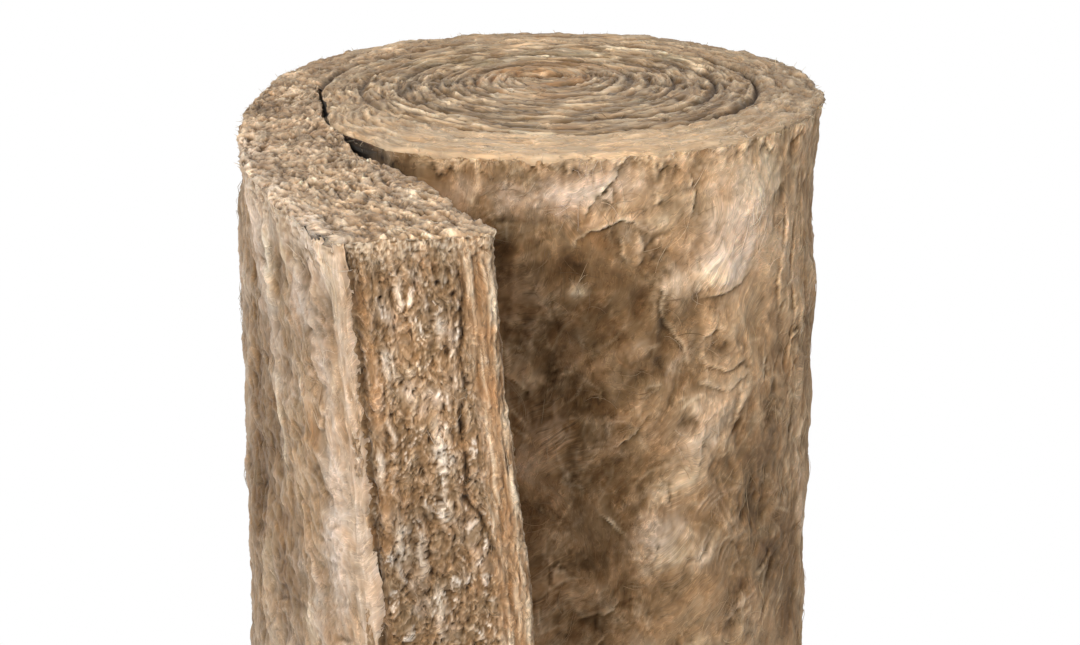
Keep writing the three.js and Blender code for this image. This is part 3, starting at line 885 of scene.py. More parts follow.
# The film that wraps round both edges of the cut face, drawn out into upright strands
LEFT_EDGE, RIGHT_EDGE = MARK["corner_a"] + 16.0, MARK["inside"] - 5.0
threads = noise(72, (U + 3 * noise(76, U / 30, Z / 60)) / 3.6, Z / 42, 2, 0.6)
torn = noise(77, U / 11, Z / 34, 3, 0.6)
wrap = smooth(U, LEFT_EDGE - 36, LEFT_EDGE - 14) * (U < MARK["inside"])
glow = 0.55 + 0.3 * near(Z - 850, 130) + 0.5 * torn
skin.paint(wrap * glow, mix(LILAC, PALE, 0.25))
lip_side = (1 - smooth(U, RIGHT_EDGE + 26, RIGHT_EDGE + 48)) * (U > RIGHT_EDGE - 12)
skin.paint(lip_side * (0.85 + 0.4 * torn), mix(PALE, RUST, 0.4))
both = np.clip(wrap + lip_side, 0, 1)
skin.h = mix(skin.h, blur(skin.h, 9, 9) * 0.5, both) + both * (0.9 * threads + 1.2 * torn)
# Painted highlight on the threads' crests by the lip and painted shade between them; on the wrapping film, painted
# shade between the threads as well
skin.shade(threads, lip_side, (0.95, 0.1, 0.7, CREAM), (-0.9, 0.1, 0.7, shadow(0.2)))
skin.shade(threads, wrap, (-0.35, 0.2, 1.0, TAN))
# The free end's wool breaks into crumbs over the rim
hang = on_tail * smooth(below_rim, 44 + 26 * noise(87, U / 26, 0 * Z, 2), 6 + 10 * noise(88, U / 12, 0 * Z, 2))
hang = hang * (0.55 + 0.45 * smooth(noise(105, U / 45, Z / 60, 2), -0.5, 0.4))
crumb, holes = crumbs(U / 19, Z / 8.5, U / 17, Z / 7.0, 0.2)
tints = mix(TAN, PALE, 0.35), mix(CREAM, LILAC, 0.5), shadow(0.4)
# The holes between the crumbs are given painted shade
skin.fray(hang, crumb, holes, tints, (0.55, 0.7, 0.85), 1.5, 2.0)
skin.finish()

# Tones: on the coil by winding, and on the free end by how far past its root
# The coil's darker spots beside the crevice and in the free end's shadow on its front left are painted shade
COIL_TONES = (
    (0.625, 1090, 75, 90, 0.14), (0.565, 1000, 60, 260, 0.20), (0.720, 900, 90, 200, -0.06),
    (0.655, 720, 110, 130, -0.19), (0.755, 1090, 50, 110, -0.10), (0.610, 790, 70, 130, -0.13),
    (0.818, 1178, 28, 24, -0.68), (0.772, 1128, 34, 42, -0.38), (0.722, 1090, 45, 40, -0.24),
    (0.689, 1104, 40, 40, -0.18), (0.676, 1013, 45, 60, -0.32), (0.754, 1181, 40, 16, -0.24),
    (0.722, 1180, 40, 16, -0.10), (0.678, 1174, 40, 18, -0.12), (0.593, 877, 30, 60, -0.20),
)
FREE_END_TONES = (
    (337, 1155, 50, 50, 0.17), (301, 1030, 60, 60, -0.20), (285, 855, 60, 80, -0.20), (457, 920, 50, 70, 0.15),
)
tone = toned(U, Z, [(winding_u(w), *rest) for w, *rest in COIL_TONES])
tone = toned(U - MARK["outside"], Z, FREE_END_TONES, tone)
# The side skin is darker than the ends, the free end darker still and its outer side darkest: painted shade. The
# spot tones multiply in here too
outside = on_tail * (1 - smooth(U, MARK["cut"] - 100, MARK["cut"] - 50))
skin.colour *= tone[..., None] * mix(mix(0.92, 0.665, on_tail), 0.56, outside)[..., None]
skin.colour = tinted(skin.colour, (0.98, 1.01, 1.06), outside)
skin.colour = tinted(skin.colour, (0.80, 0.76, 0.71), lip_side)
skin.colour = browner(skin.colour, 0.33, (0.06, 0.10, 0.20))
# Deep shade where the free end's root lies close to the coil
from_root = MARK["inside"] + FREE_LENGTH - U
wavering = U + 14 * noise(108, U / 30, Z / 16, 2)
shaded = np.maximum(1 - smooth(wavering, winding_u(0.875), winding_u(0.812)), 1 - smooth(from_root, 270, 340))
shaded = np.where((U > MARK["outside"]) & (U < MARK["inside"]), 0, shaded)
skin.paint(0.98 * (1 - (1 - shaded) ** 3), 0.1 * DEEP)

# --- Skin pieces --------------------------------------------------------------------------------------


def column(u):
    return int(np.argmin(np.abs(cols_u - u)))


def standing(u):
    """Plan points and outward normals of a side's grid, with the belly of each row."""
    return [mix(low[None], high[None], rows.belly[:, None, None]) for low, high in plan_at(u)]


def raised(plan, out, height, inset, rise):
    """Points of a side's grid, lifted off its plan by its relief, which turns upwards over the rims."""
    slope = rows.lean[:, None]
    xy = plan + out * (np.cos(slope) * height - inset)[..., None]
    return np.concatenate([xy, (rows.z[:, None] + np.sin(slope) * rise)[..., None]], -1)


plan, out = standing(cols_u)
place = rows.place
before_cut = cols_u < MARK["cut"] + 40
past_cut = ~before_cut
# The relief is calmer where another skin faces it closely
relief = skin.h * (0.18 + 0.82 * smooth(gap_beside(cols_u), 4, 60))[None]
# The film's and the lip's edges beside the cut are ragged, and sink under it except near the rims
tangent = unit(np.gradient(plan, axis=1))
ragged = 6.5 * noise(73, place / 70, 0 * place, 2) + 0.8 * noise(74, place / 18, 0 * place, 2, 0.5)
film_edge = smooth(cols_u, LEFT_EDGE - 24, LEFT_EDGE) * before_cut
lip_edge = (1 - smooth(cols_u, RIGHT_EDGE, RIGHT_EDGE + 22)) * past_cut
plan = plan + tangent * (ragged[:, None] * (film_edge + lip_edge))[..., None]
sink = smooth(cols_u, LEFT_EDGE - 2.2, LEFT_EDGE + 1) * before_cut
sink = sink + (1 - smooth(cols_u, RIGHT_EDGE, RIGHT_EDGE + 3)) * past_cut
by_rim = smooth(np.abs(place - HEIGHT / 2), HEIGHT / 2 - 36, HEIGHT / 2 - 14)[:, None]
relief = relief + 0.8 * film_edge + 1.2 * lip_edge - 6.0 * sink * (1 - by_rim)
# The cut's inner edge curls back from the coil
drawn_in = (1.0 + 4.0 * rows.belly[:, None] + 8.0 * near(place - 1040, 110)[:, None])[..., None]
inner_normal = out[:, column(MARK["inside"] + 20)][:, None]
by_lip = (1 - smooth(cols_u, MARK["inside"], MARK["inside"] + 80)) * past_cut
plan = plan - drawn_in * inner_normal * by_lip[None, :, None]
# The gap beside the free end's root stands open, and widens to a wedge near the top
from_coil = MARK["inside"] + FREE_LENGTH - cols_u
root_gap = (1 - smooth(cols_u, winding_u(0.86), winding_u(0.80))) + 1 - smooth(from_coil, 240, 320)
root_gap = np.where((cols_u > MARK["outside"]) & (cols_u < MARK["inside"]), 0, np.minimum(root_gap, 1))
high = smooth(place, 1020, 1180)[:, None]
wedge = 9 * near(cols_u - winding_u(0.860), 38) + 19 * near(from_coil - 292, 46)
wedge = wedge + 5 * near(cols_u - winding_u(0.926), 9)
relief = relief - 1.2 * root_gap + high * (9 * near(from_coil - 430, 70) - wedge)
# By the cut's corners the tuck reaches further in, so that no gap opens beside the end's rounded corner
shelf = 13 * near(cols_u - MARK["corner_a"] - 2, 26) + 13 * near(cols_u - MARK["inside"], 22)
innermost = np.isin(np.arange(len(rows.z)), (0, len(rows.z) - 1))
inset = rows.inset[:, None] + shelf * innermost[:, None]
side_verts = raised(plan, out, relief, inset, np.clip(relief, -6, 2))
side_normals = grid_normals(side_verts)
side_strip = np.concatenate([skin.flow, np.zeros(U.shape + (1,))], -1)
veil = wool_material("wool_veil", 1.3, 9.0, 0.006, 0.0006, 0.17, 0.5, 0.5, 0.6)


def row_choice(fine_from=math.inf):
    """Indices of the rows to keep: the rims', every second one, and all above a height."""
    last = len(rows.z) - rows.rim - 1
    spare = [i for i in range(rows.rim, last) if (i - rows.rim) % 2 and rows.z[i] <= fine_from]
    return np.setdiff1d(np.arange(len(rows.z)), spare)


COARSE, FINE, FINE_TAIL, FINE_CUT = (row_choice(z) for z in (math.inf, 700.0, 740.0, 820.0))


def side_piece(name, first, last, kept, stride=1, joined=()):
    """A piece of the side's skin. An edge joined to a coarser piece takes the line of the coarse rows."""
    box = np.ix_(kept, np.unique(np.append(np.arange(first, last + 1, stride), last)))
    verts = side_verts[box].copy()
    coarse = np.isin(kept, COARSE)
    for edge in joined:
        for k in range(3):
            verts[:, edge, k] = np.interp(np.arange(len(kept)), np.where(coarse)[0], verts[coarse, edge, k])
    faces = grid_faces(*verts.shape[:2])
    return make_piece(name, verts, faces, veil, skin.colour[box], side_strip[box], side_normals[box])


c_gap, c_front, c_right = column(winding_u(0.845)), column(winding_u(0.66)), column(winding_u(0.52))
c_root, c_film = column(MARK["outside"]), column(LEFT_EDGE + 1)
c_lip, c_fold = column(RIGHT_EDGE - 1), column(MARK["outside"] + 250)
pieces = [
    side_piece("coil_crevice", 0, c_gap, COARSE, 6),
    side_piece("coil_front_left", c_gap, c_front, FINE, joined=(0,)),
    side_piece("coil_front_right", c_front, c_right, FINE, joined=(-1,)),
    side_piece("coil_back", c_right, c_root, COARSE, 2),
    side_piece("free_end_back", c_root, c_fold, COARSE, 2),
    side_piece("free_end_outside", c_fold, c_film, FINE_TAIL, joined=(0,)),
    side_piece("free_end_inside", c_lip, len(cols_u) - 1, COARSE, 5),
]

# --- Cut face -----------------------------------------------------------------------------------------

CUT_STEP = 1.45
CUT_WIDTH = RIGHT_EDGE - LEFT_EDGE
# Where the upright split runs at each height, across the face
SPLIT = (0, 250, 840, 895, 935, 965, 1025, 1100, 1200), (85, 90, 108, 101, 89, 77, 77, 87, 97)


class Cut(Painted):
    """The torn edges of the batt's layers, which stand upright on the cut face: t runs across it and z up."""

    def __init__(self, t, z):
        self.t, self.z = t, z
        a = t + 6.0 * noise(31, t / 24, z / 55, 2) + 2.6 * noise(32, t / 7, z / 12, 2)
        b = z + 9 * noise(33, t / 16, z / 30)
        self.strip = np.stack([a, b, np.zeros_like(a)], -1)
        # The innermost layers are drawn out into strands along the edge
        strand = self.strand = smooth(t, CUT_WIDTH - 46, CUT_WIDTH - 34)
        wave = noise(24, (t + 4 * noise(23, z / 40, t / 30)) / 4.2, z / 70, 2, 0.6)
        layer = a / 9.0
        cell = np.floor(layer)
        crest = np.sin(math.pi * (layer - cell)) ** 0.8
        flake = noise(34, cell * 5.7 + 0.3, b / 12, 3, 0.7)
        ridge = 1 - 2.3 * np.abs(noise(35, a / 4.4, b / mix(11, 40, strand), 2, 0.6))
        curl = 1 - 2.3 * np.abs(noise(30, a / 4.4, b / mix(5.5, 22, strand), 2, 0.7))
        grain = noise(25, a / 2.3, b / mix(3.4, 12, strand), 2, 0.7)
        pit = smooth(noise(36, a / 5.0, b / 9, 2, 0.6), 0.25, 0.85) * (1 - 0.8 * strand)
        bulk = noise(37, t / 30, z / 50, 3)
        # An upright split parts the last layers from the rest
        split_at = np.interp(z, *SPLIT) + 5 * noise(29, 0 * z, z / 30, 3, 0.6)
        split = near(t - split_at, 2.2) * smooth(noise(28, 0 * z, z / 40, 2), -0.6, 0.2)
        h = 2.2 * crest * (0.6 + 0.7 * flake) + 1.3 * ridge + 1.1 * curl + 0.5 * grain
        h = h - 2.2 * pit + 2.8 * bulk - 2.6 * split
        self.h = h * mix(1.0, 0.75, strand) + strand * 1.6 * wave
        # Broad tones and pale tufts; painted highlight on the crests, and painted shade in the pits and on the
        # shaded sides between them
        level, deep = h - blur(h, 3, 4), h - blur(h, 12, 12)
        self.ground(mix(TAN, DARK, 0.38), t.shape)
        self.shade(noise(38, t / 18, z / 40, 2), 1, (0.6, 0.0, 0.9, RUST))
        shadowed = noise(52, t / 22, z / 40, 3) + 0.35 * smooth(860 - z, 0, 80)
        self.shade(shadowed, 1, (0.6, 0.0, 0.9, DARK), (-0.5, 0.1, 1.0, mix(PALE, LILAC, 0.7)))
        tuft = smooth(noise(39, a / 10, b / 17, 2), 0.05, 0.65) * smooth(deep, -0.8, 2.0)
        self.shade(level, 1, (0.55, 0.0, 1.8, PALE))
        self.shade(level, tuft, (1, -0.5, 1.2, mix(CREAM, LILAC, 0.5)))
        self.shade(level, 1, (-0.75, 0.1, 2.0, DARK))
        self.shade(level + 0.3 * deep, 1, (-0.8, 1.3, 3.6, DEEP))
        # Painted shade in the split
        self.paint(0.65 * split, DEEP)
        self.colour = self.colour * (1 + 0.22 * grain)[..., None]
        self.paint(strand * 0.5, mix(PALE, RUST, 0.45))
        # Painted highlight where the drawn strands stand up, painted shade between them
        sides = (0.75, 0.0, 0.6, mix(CREAM, PALE, 0.4)), (-0.75, 0.05, 0.6, mix(DARK, RUST, 0.4))
        self.shade(wave, strand, *sides)
        rusty = near(t - CUT_WIDTH + 22, 6) * smooth(noise(22, 0 * z, z / 60, 2), -0.5, 0.4)
        self.paint(rusty * 0.75, mix(RUST, PALE, 0.25))
        cream = near(t - CUT_WIDTH + 15, 3.5) * smooth(noise(20, 0 * z, z / 45, 2), -0.4, 0.5)
        self.paint(cream * 0.8, CREAM)

    def edges(self):
        """A groove beside the film, and layers that fray into curls and pits along the rim."""
        t, z = self.t, self.z
        groove = near(t - 3, 5.0 + 3 * smooth(z, 1080, 1150)) * (0.75 + 0.5 * noise(40, 0 * z, z / 34, 2))
        groove = np.clip(groove, 0, 1)
        self.paint(near(t - 13, 6) * smooth(z, 900, 960) * 0.5, mix(RUST, TAN, 0.4))
        at_rim = np.maximum(smooth(z, HEIGHT - 22, HEIGHT - 6), smooth(22 - z, 0, 16))
        self.h = self.h * (1 - 0.4 * at_rim) - (1.5 + 4.5 * groove) * (1 - 0.8 * at_rim)
        # Painted shade in the groove
        self.paint(0.8 * groove, DEEP)
        frayed = smooth(z, HEIGHT - 34 + 26 * noise(96, t / 14, 0 * t, 2), HEIGHT - 4)
        # The pits between the frayed curls are given painted shade
        tints = mix(TAN, PALE, 0.25), mix(CREAM, PALE, 0.3), shadow(0.6)
        self.fray(frayed, *crumbs(t / 6.5, z / 8.0, t / 6.0, z / 6.0, 0.15), tints, (0.5, 0.65, 0.9), 1.4, 2.2)

    def tuft(self, across, height, width, tall, amount):
        """A pale tuft: across is where its middle lies, as a share of the face's width."""
        x = (self.t - 114 * across + 3 * noise(27, self.t / 12, self.z / 14, 2)) / width
        y = (self.z - height + 6 * noise(26, self.t / 10, self.z / 18, 2)) / tall
        m = np.exp(-(np.hypot(x, y) ** 2.4))
        self.h = self.h + 1.8 * m
        crest = smooth(self.h - blur(self.h, 3, 3), -1.4, 0.5)
        self.paint(amount * m * crest, mix(CREAM, LILAC, 0.4))


cut_u = np.arange(LEFT_EDGE - 13, RIGHT_EDGE + 6, CUT_STEP)
T, CZ = np.meshgrid(cut_u - LEFT_EDGE, place)
cut = Cut(T, CZ)
cut.edges()
for spec in (
    (0.36, 1150, 4, 16, 0.8), (0.22, 1090, 6, 14, 0.6), (0.52, 1010, 6, 20, 0.9), (0.20, 930, 5, 26, 0.9),
    (0.33, 915, 5, 26, 0.8), (0.50, 960, 4, 16, 0.7), (0.10, 1000, 4, 18, 0.6), (0.86, 800, 4, 26, 0.7),
    (0.60, 1120, 5, 10, 0.5), (0.42, 860, 4, 20, 0.6), (0.28, 760, 5, 14, 0.5), (0.66, 730, 5, 18, 0.5),
):
    cut.tuft(*spec)
# More contrast, and the whole face darker than the skin and the ends: painted shade
cut.colour = contrasted(cut.colour, 0.3) * np.array((0.69, 0.695, 0.685))
cut.colour = tinted(cut.colour, (0.90, 0.86, 0.81), cut.strand)
CUT_TONES = (49, 1075, 20, 60, 0.50), (29, 910, 24, 75, -0.31), (81, 1155, 14, 45, -0.25), (29, 1155, 16, 45, -0.15)
cut.colour = browner(cut.colour * toned(T, CZ, CUT_TONES)[..., None], 0.30, (0.05, 0.12, 0.25))
cut_plan, cut_out = standing(cut_u)
cut_plan = cut_plan - drawn_in * inner_normal * smooth(T, CUT_WIDTH - 70, CUT_WIDTH)[..., None]
cut_verts = raised(cut_plan, cut_out, cut.h, rows.inset[:, None], np.minimum(cut.h, 3))
cut_normals = grid_normals(cut_verts)
torn = wool_material("wool_torn", 1.6, 2.5, 0.004, 0.0010, 0.32, 0.6, 0.6, 0.3)
verts, paint, strip, normals = (grid[FINE_CUT] for grid in (cut_verts, cut.colour, cut.strip, cut_normals))
pieces.append(make_piece("cut_face", verts, grid_faces(*verts.shape[:2]), torn, paint, strip, normals))

# --- Top and bottom ends: the wound strip -------------------------------------------------------------


def tail_plan(along, ts):
    """Plan points of the free end's top, and how far along each lies. ts runs from 0 outside to 1 inside."""
    skew = (2 * ts - 1)[None, :] * FREE_THICKNESS / 2 * math.tan(CUT_SKEW)
    radius = 0.8 * CORNER
    beside = np.minimum(np.minimum(ts, 1 - ts) * FREE_THICKNESS / radius, 1)
    back = FREE_LENGTH - along[:, None]
    rounded = radius * (1 - np.sqrt(beside))[None, :] ** 2 * np.clip(1 - back / 90, 0, 1)
    a = along[:, None] + skew * smooth(along, 150, FREE_LENGTH)[:, None] - rounded
    across = mix(free_across(a, -1, 0.0), free_across(a, 1, 0.0), ts[None, :])
    frayed = 2.6 * noise(90, ts * FREE_THICKNESS / 16, 0 * ts, 3, 0.6)[None, :] * np.exp(-back / 9)
    p = free_point(a + frayed * beside[None, :], across)
    return mix(p, keep_off_coil(p), ts[None, :, None] ** 2), a


def turn_plan(w, ts):
    """Plan points of the windings' top, out to in. Inside the fifth turn comes the flattened eye."""
    outer = seam_point(w)
    angle = math.pi * (1 - 2 * w)
    slot = EYE + np.stack([EYE_LENGTH / 2 * np.cos(angle), EYE_WIDTH / 2 * np.sin(angle)], -1)
    inner = np.where((w > TURNS - 1)[:, None], slot, seam_point(np.minimum(w, TURNS - 1) + 1))
    return mix(outer[:, None], inner[:, None], ts[None, :, None])


def windings(start, stop, step):
    """Windings from one to another, at about even steps in millimetres."""
    w = [start]
    while w[-1] < stop:
        r = max(float(norm(seam_point(w[-1] + 0.5) - EYE * 0.5)), 34)
        w.append(w[-1] + step / (2 * math.pi * r))
    return np.array(w[:-1] + [stop])


def edge_round(e):
    """How far an end's surface drops within the rounding of its rim."""
    inside = np.clip(RIM - e, 0, RIM)
    return RIM - np.sqrt(np.maximum(RIM**2 - inside**2, 0))


def rim_shift(u):
    """How far the skin's relief moves the top rim, frayed a little more."""
    fray = 1.8 * noise(75, u / 10, 0 * u, 3, 0.65) + 2.0 * noise(93, u / 30, 0 * u, 2) + 1.4
    fray = fray - 2.0 * np.interp(u, cols_u, root_gap)
    return np.interp(u, cols_u, relief[-rows.rim - 1]) + fray


def follow_skin(plan, outer_u, inner_u=None):
    """Shifts an end's edges out or in with the relief of the skin below them."""
    across = plan[:, 0] - plan[:, -1]
    wide = norm(across)[:, None]
    out = (across / wide)[:, None]
    e = np.linspace(0, 1, plan.shape[1])[None, :] * wide
    plan = plan + out * (rim_shift(outer_u)[:, None] * np.exp(-e / 24))[..., None]
    if inner_u is not None:
        plan = plan - out * (rim_shift(inner_u)[:, None] * np.exp(-(wide - e) / 24))[..., None]
    return plan


# How far round each winding lies, for the marks on it, which run longer where the layers are drawn out
W_TABLE = np.linspace(0, TURNS, 3001)
ring_steps = norm(np.diff(turn_plan(W_TABLE, np.array([0.5]))[:, 0], axis=0))
RING_RUN = reached(ring_steps / (1 + 0.9 * np.sin(2 * math.pi * W_TABLE[1:]) ** 2))
# Windings of their own tone: where, how wide, how strong
DARK_WINDINGS = (
    (3.97, 0.14, 0.9), (2.88, 0.10, 0.9), (2.55, 0.14, 0.8), (1.58, 0.08, 0.5), (2.36, 0.10, 0.6),
    (1.44, 0.06, 0.6), (3.50, 0.10, 0.5),
)
MOSSY_WINDINGS = (2.22, 0.10), (1.36, 0.05), (3.16, 0.06)


def seam_strength(w):
    """How far each seam stands open: wide at the crevice's root and round the first turn's back right."""
    stands_open = 0.3 * near(w - 1.02, 0.05) + 0.85 * near(w - 1.47, 0.13) + 0.3 * near(w - 2.5, 0.2)
    front = 0.25 * near(np.mod(w, 1) - 0.75, 0.1)
    closed = np.clip(0.26 + 0.5 * noise(50, w * 5, 0 * w, 3, 0.7) - front, 0.0, 0.5)
    return np.where(w > TURNS - 0.02, 0.0, np.clip(closed + stands_open, 0.0, 1.2))[:, None]


class End(Painted):
    """One grid of an end of the roll: s runs along the strip, and l across it from its outer side.

    The free end's wool is loose. The coil's is pressed, and drawn out into rings: w is the winding of each of its
    rows, and None on the free end.
    """

    def __init__(self, plan, s0, w=None):
        self.plan, self.w = plan, w
        run = reached(norm(np.diff(plan[:, plan.shape[1] // 2], axis=0)))
        self.thick = norm(plan[:, -1] - plan[:, 0])[:, None]
        self.l = np.linspace(0, 1, plan.shape[1])[None, :] * self.thick
        self.s = np.broadcast_to((s0 + run)[:, None], self.l.shape)
        self.lay_out()
        self.relief()
        self.tones()
        if w is None:
            self.round_edges()
        else:
            self.seams()

    def lay_out(self):
        """Wavy coordinates along and across the layers, and where the wool is loose, in front or outermost."""
        s, l, w = self.s, self.l, self.w
        if w is None:
            loose, run = np.ones_like(s), s
            self.front = self.outermost = 0.0
        else:
            loose = (1 - smooth(w, 0.02, 0.35))[:, None] * np.ones_like(s)
            run = np.interp(w, W_TABLE, RING_RUN)[:, None]
            self.front = near(np.mod(w, 1) - 0.72, 0.13)[:, None] * (1 - smooth(w, 0.9, 1.6))[:, None]
            self.outermost = (1 - smooth(w, 0.9, 1.3))[:, None]
        self.calm_front = 1 - 0.75 * self.front
        self.loose = loose
        self.a = run + 9 * noise(41, s / 38, l / 18, 2)
        b = l + self.by(4.0, 5.0) * noise(42, s / self.by(70, 40), l / 26, 2)
        self.b = b + self.by(1.2, 1.8) * noise(43, s / self.by(20, 12), l / 9, 2)

    def by(self, pressed, loose):
        """A value that differs in pressed and in loose wool."""
        return mix(pressed, loose, self.loose)

    def layers(self, seed, along, across, gain=0.6, octaves=2):
        """Noise with its sizes along and across the layers, each in pressed and in loose wool."""
        return noise(seed, self.a / self.by(*along), self.b / self.by(*across), octaves, gain)

    def relief(self):
        """Layers on edge, with ridges, lumps and drawn strands, and with splits, dents, pits and squiggles."""
        s, l, by, layers = self.s, self.l, self.by, self.layers
        layer = self.b / 10.0
        cell = np.floor(layer)
        crest = np.sin(math.pi * (layer - cell)) ** 0.7
        self.tuft = noise(44, cell * 3.1 + 0.4, self.a / by(34, 28), 2, 0.65)
        ridge = 1 - 2.4 * np.abs(layers(45, (28, 22), (6.5, 7.0)))
        thread = 1 - 2.2 * np.abs(layers(53, (18, 13), (5.0, 5.0)))
        lumps = noise(46, s / 44, l / 20, 2)
        clods = layers(56, (26, 19), (10, 9))
        self.clot = layers(99, (24, 24), (10, 11))
        self.dented = smooth(self.clot, 0.08, 0.6)
        self.arc = layers(107, (70, 46), (7.5, 7.5))
        self.drawn = by((1 - 0.75 * self.front) * (1 - 0.4 * self.outermost), 0.5)
        squiggle = near(layers(102, (22, 16), (6.5, 7.5), 0.5), 0.10)
        self.squiggle = squiggle * smooth(noise(103, s / 26, l / 15, 2), -0.1, 0.35)
        split = near(layers(54, (60, 40), (8.0, 8.0), 0.4), 0.08)
        self.split = split * smooth(noise(55, s / 60, l / 16, 2), -0.3, 0.4)
        pit = smooth(layers(58, (14, 9), (6.5, 7.5)), by(0.35, 0.22), 0.75)
        self.pit = pit * smooth(noise(60, s / 60, l / 40, 2), by(-0.4, -0.9), 0.4)
        h = by(1.0, 0.9) * crest * (0.6 + 0.7 * self.tuft) + 1.5 * ridge + by(0.7, 1.2) * thread
        h = h + by(1.9, 2.2) * lumps + by(1.1, 1.2) * clods - 1.4 * self.dented + self.drawn * self.arc
        self.h = h - 2.4 * self.split - by(1.2, 2.6) * self.pit - 1.6 * self.squiggle * self.calm_front

    def tones(self):
        s, l, w, front, by, layers = self.s, self.l, self.w, self.front, self.by, self.layers
        level = self.h - blur(self.h, 5, 4)
        self.ground(mix(TAN, PALE, 0.12), s.shape)
        broad = noise(57, s / 60, l / 32, 3, 0.6)
        self.shade(broad, 1, (0.5, 0.0, 1.0, DARK), (-0.5, 0.0, 1.0, mix(PALE, LILAC, 0.3)))
        # Bands of a few layers each, dark and pale in turn
        band = layers(47, (150, 120), (17, 17))
        marks = layers(91, (34, 20), (8, 9), 0.65)
        tone = band + 0.6 * marks * smooth(band, -0.9, 0.3)
        self.shade(tone, by(0.85, 0.6), (1, 0.0, 0.9, shadow(0.15)))
        self.shade(tone, 1, (-0.6, 0.1, 1.0, PALE))
        self.shade(noise(48, s / 60, self.b / 11, 2), 1, (0.5, 0.3, 1.0, RUST))
        # Painted highlight on the crests, creamy in places, and painted shade in the hollows
        creamy = smooth(noise(49, self.a / 14, self.b / 6, 2), -0.3, 0.6)
        self.shade(level, 1, (0.6, 0.0, 1.6, PALE))
        self.shade(level, creamy, (0.9, 0.8, 2.4, CREAM))
        self.shade(level, by(0.7, 0.8), (-1, 0.1, 1.7, DARK))
        self.shade(level, 1, (-0.85, 1.0, 2.8, DEEP))
        # Painted shade in the splits and pits
        self.paint(np.maximum(0.8 * self.split, by(0.5, 0.85) * self.pit), shadow(0.7))
        if w is None:
            fringe = near(l, 20 + 14 * noise(89, s / 26, 0 * l, 2)) * (1 - smooth(s - s[0, 0], 300, 420))
            self.paint(fringe * smooth(level, -1.5, 1.2) * 0.55, mix(LILAC, CREAM, 0.35))
        else:
            self.ring_tones(broad)
        smoother = 1 - 0.6 * front
        # Painted shade in the dents and squiggles; painted highlight and shade on the drawn arcs' rises and dips
        self.paint(0.55 * self.dented * smoother, shadow(0.25))
        self.paint(0.8 * self.squiggle * self.calm_front, shadow(0.6))
        self.shade(self.arc, self.drawn, (0.55, 0.1, 0.8, PALE), (-0.55, 0.1, 0.8, shadow(0.2)))
        if w is not None:
            # The turns read as rings: darker beside each seam, with painted shade
            beside = np.minimum(np.where((w < 1)[:, None], 1e3, l), self.thick - l)
            ringed = mix(0.3, 0.45, smooth(w, 0.9, 1.3))[:, None] * near(beside, 6.5) * self.calm_front
            self.paint(ringed * smooth(noise(106, s / 40, 0 * l, 2), -0.7, 0.3), shadow(0.2))
        self.shade(self.clot, 1, (-0.45, 0.1, 0.7, mix(PALE, CREAM, 0.3)))
        # Deeper tones a few layers wide
        wide = noise(94, s / by(80, 60), l / by(60, 45), 2)
        blotch = layers(95, (40, 26), (19, 24), octaves=3)
        deeper = by(0.30, 0.12) * band + by(0.42, 0.34) * blotch * smoother + by(0.12, 0.26) * wide
        depth = np.exp(1.25 * deeper) * by(0.98, 0.95)
        colour = self.colour * depth[..., None] ** np.array((0.94, 1.0, 1.06))
        colour = colour * mix(np.array((0.93, 0.955, 0.925)), np.array((0.935, 0.945, 0.93)), self.loose[..., None])
        gain, contrast = by(0.95 + 0.50 * front, 1.0), 0.25
        if w is not None:
            # Paler at the back and where the outermost turn ends, and calmer in front
            at_back, at_end = 0.10 * near(np.mod(w, 1) - 0.25, 0.12) * (w < 3), 0.18 * near(w - 0.9, 0.08)
            gain = gain * (1 + at_back + at_end)[:, None]
            even = np.clip(0.45 * front + 0.25 * self.outermost, 0, 1)
            colour = mix(colour, colour.mean((0, 1)), even[..., None])
            contrast = by(0.08 + 0.2 * smooth(w, 0.9, 1.4)[:, None], 0.25)
        self.colour = contrasted(colour, contrast * self.calm_front) * gain[..., None]

    def ring_tones(self, broad):
        """Paler round the front, browner towards the eye, rusty over it, and windings of their own tone."""
        w = self.w
        self.paint(0.35 * self.front, mix(TAN, PALE, 0.75))
        brown = smooth(w, 1.2, 2.0)[:, None] * (1 - smooth(w, 4.2, 5.0))[:, None]
        self.paint(0.2 * brown, DARK)
        rusty = near(w - 4.25, 0.14)[:, None] + (smooth(w, 4.96, 5.08) * (1 - smooth(w, 5.55, 5.75)))[:, None]
        self.paint(np.clip(rusty, 0, 1) * smooth(self.tuft + 0.3, -0.3, 0.5) * 0.8, mix(RUST, PALE, 0.2))
        mossy = sum(near(w - at, wide) for at, wide in MOSSY_WINDINGS)[:, None]
        self.paint(0.4 * mossy * smooth(broad + 0.5, 0.0, 0.8), MOSS)
        dark = sum(amount * near(w - at, wide) for at, wide, amount in DARK_WINDINGS)[:, None]
        self.paint(dark * (0.25 + 0.6 * self.dented), shadow(0.25))

    def round_edges(self):
        """Rounds the free end's edges off, with a frayed line beside them."""
        to_side, to_cut = np.minimum(self.l, self.thick - self.l), self.s - self.s[0, 0]
        edge = np.minimum(to_side, to_cut)
        corner = near(np.hypot(to_side, to_cut), 16)
        h = self.h * (1 - 0.4 * near(edge, 3)) * (1 - 0.6 * corner)
        h = h + 1.6 * (1 - corner) * noise(92, self.s / 9, self.l / 9, 2, 0.6) * near(edge, 9)
        self.h = h - edge_round(edge + 1.0)

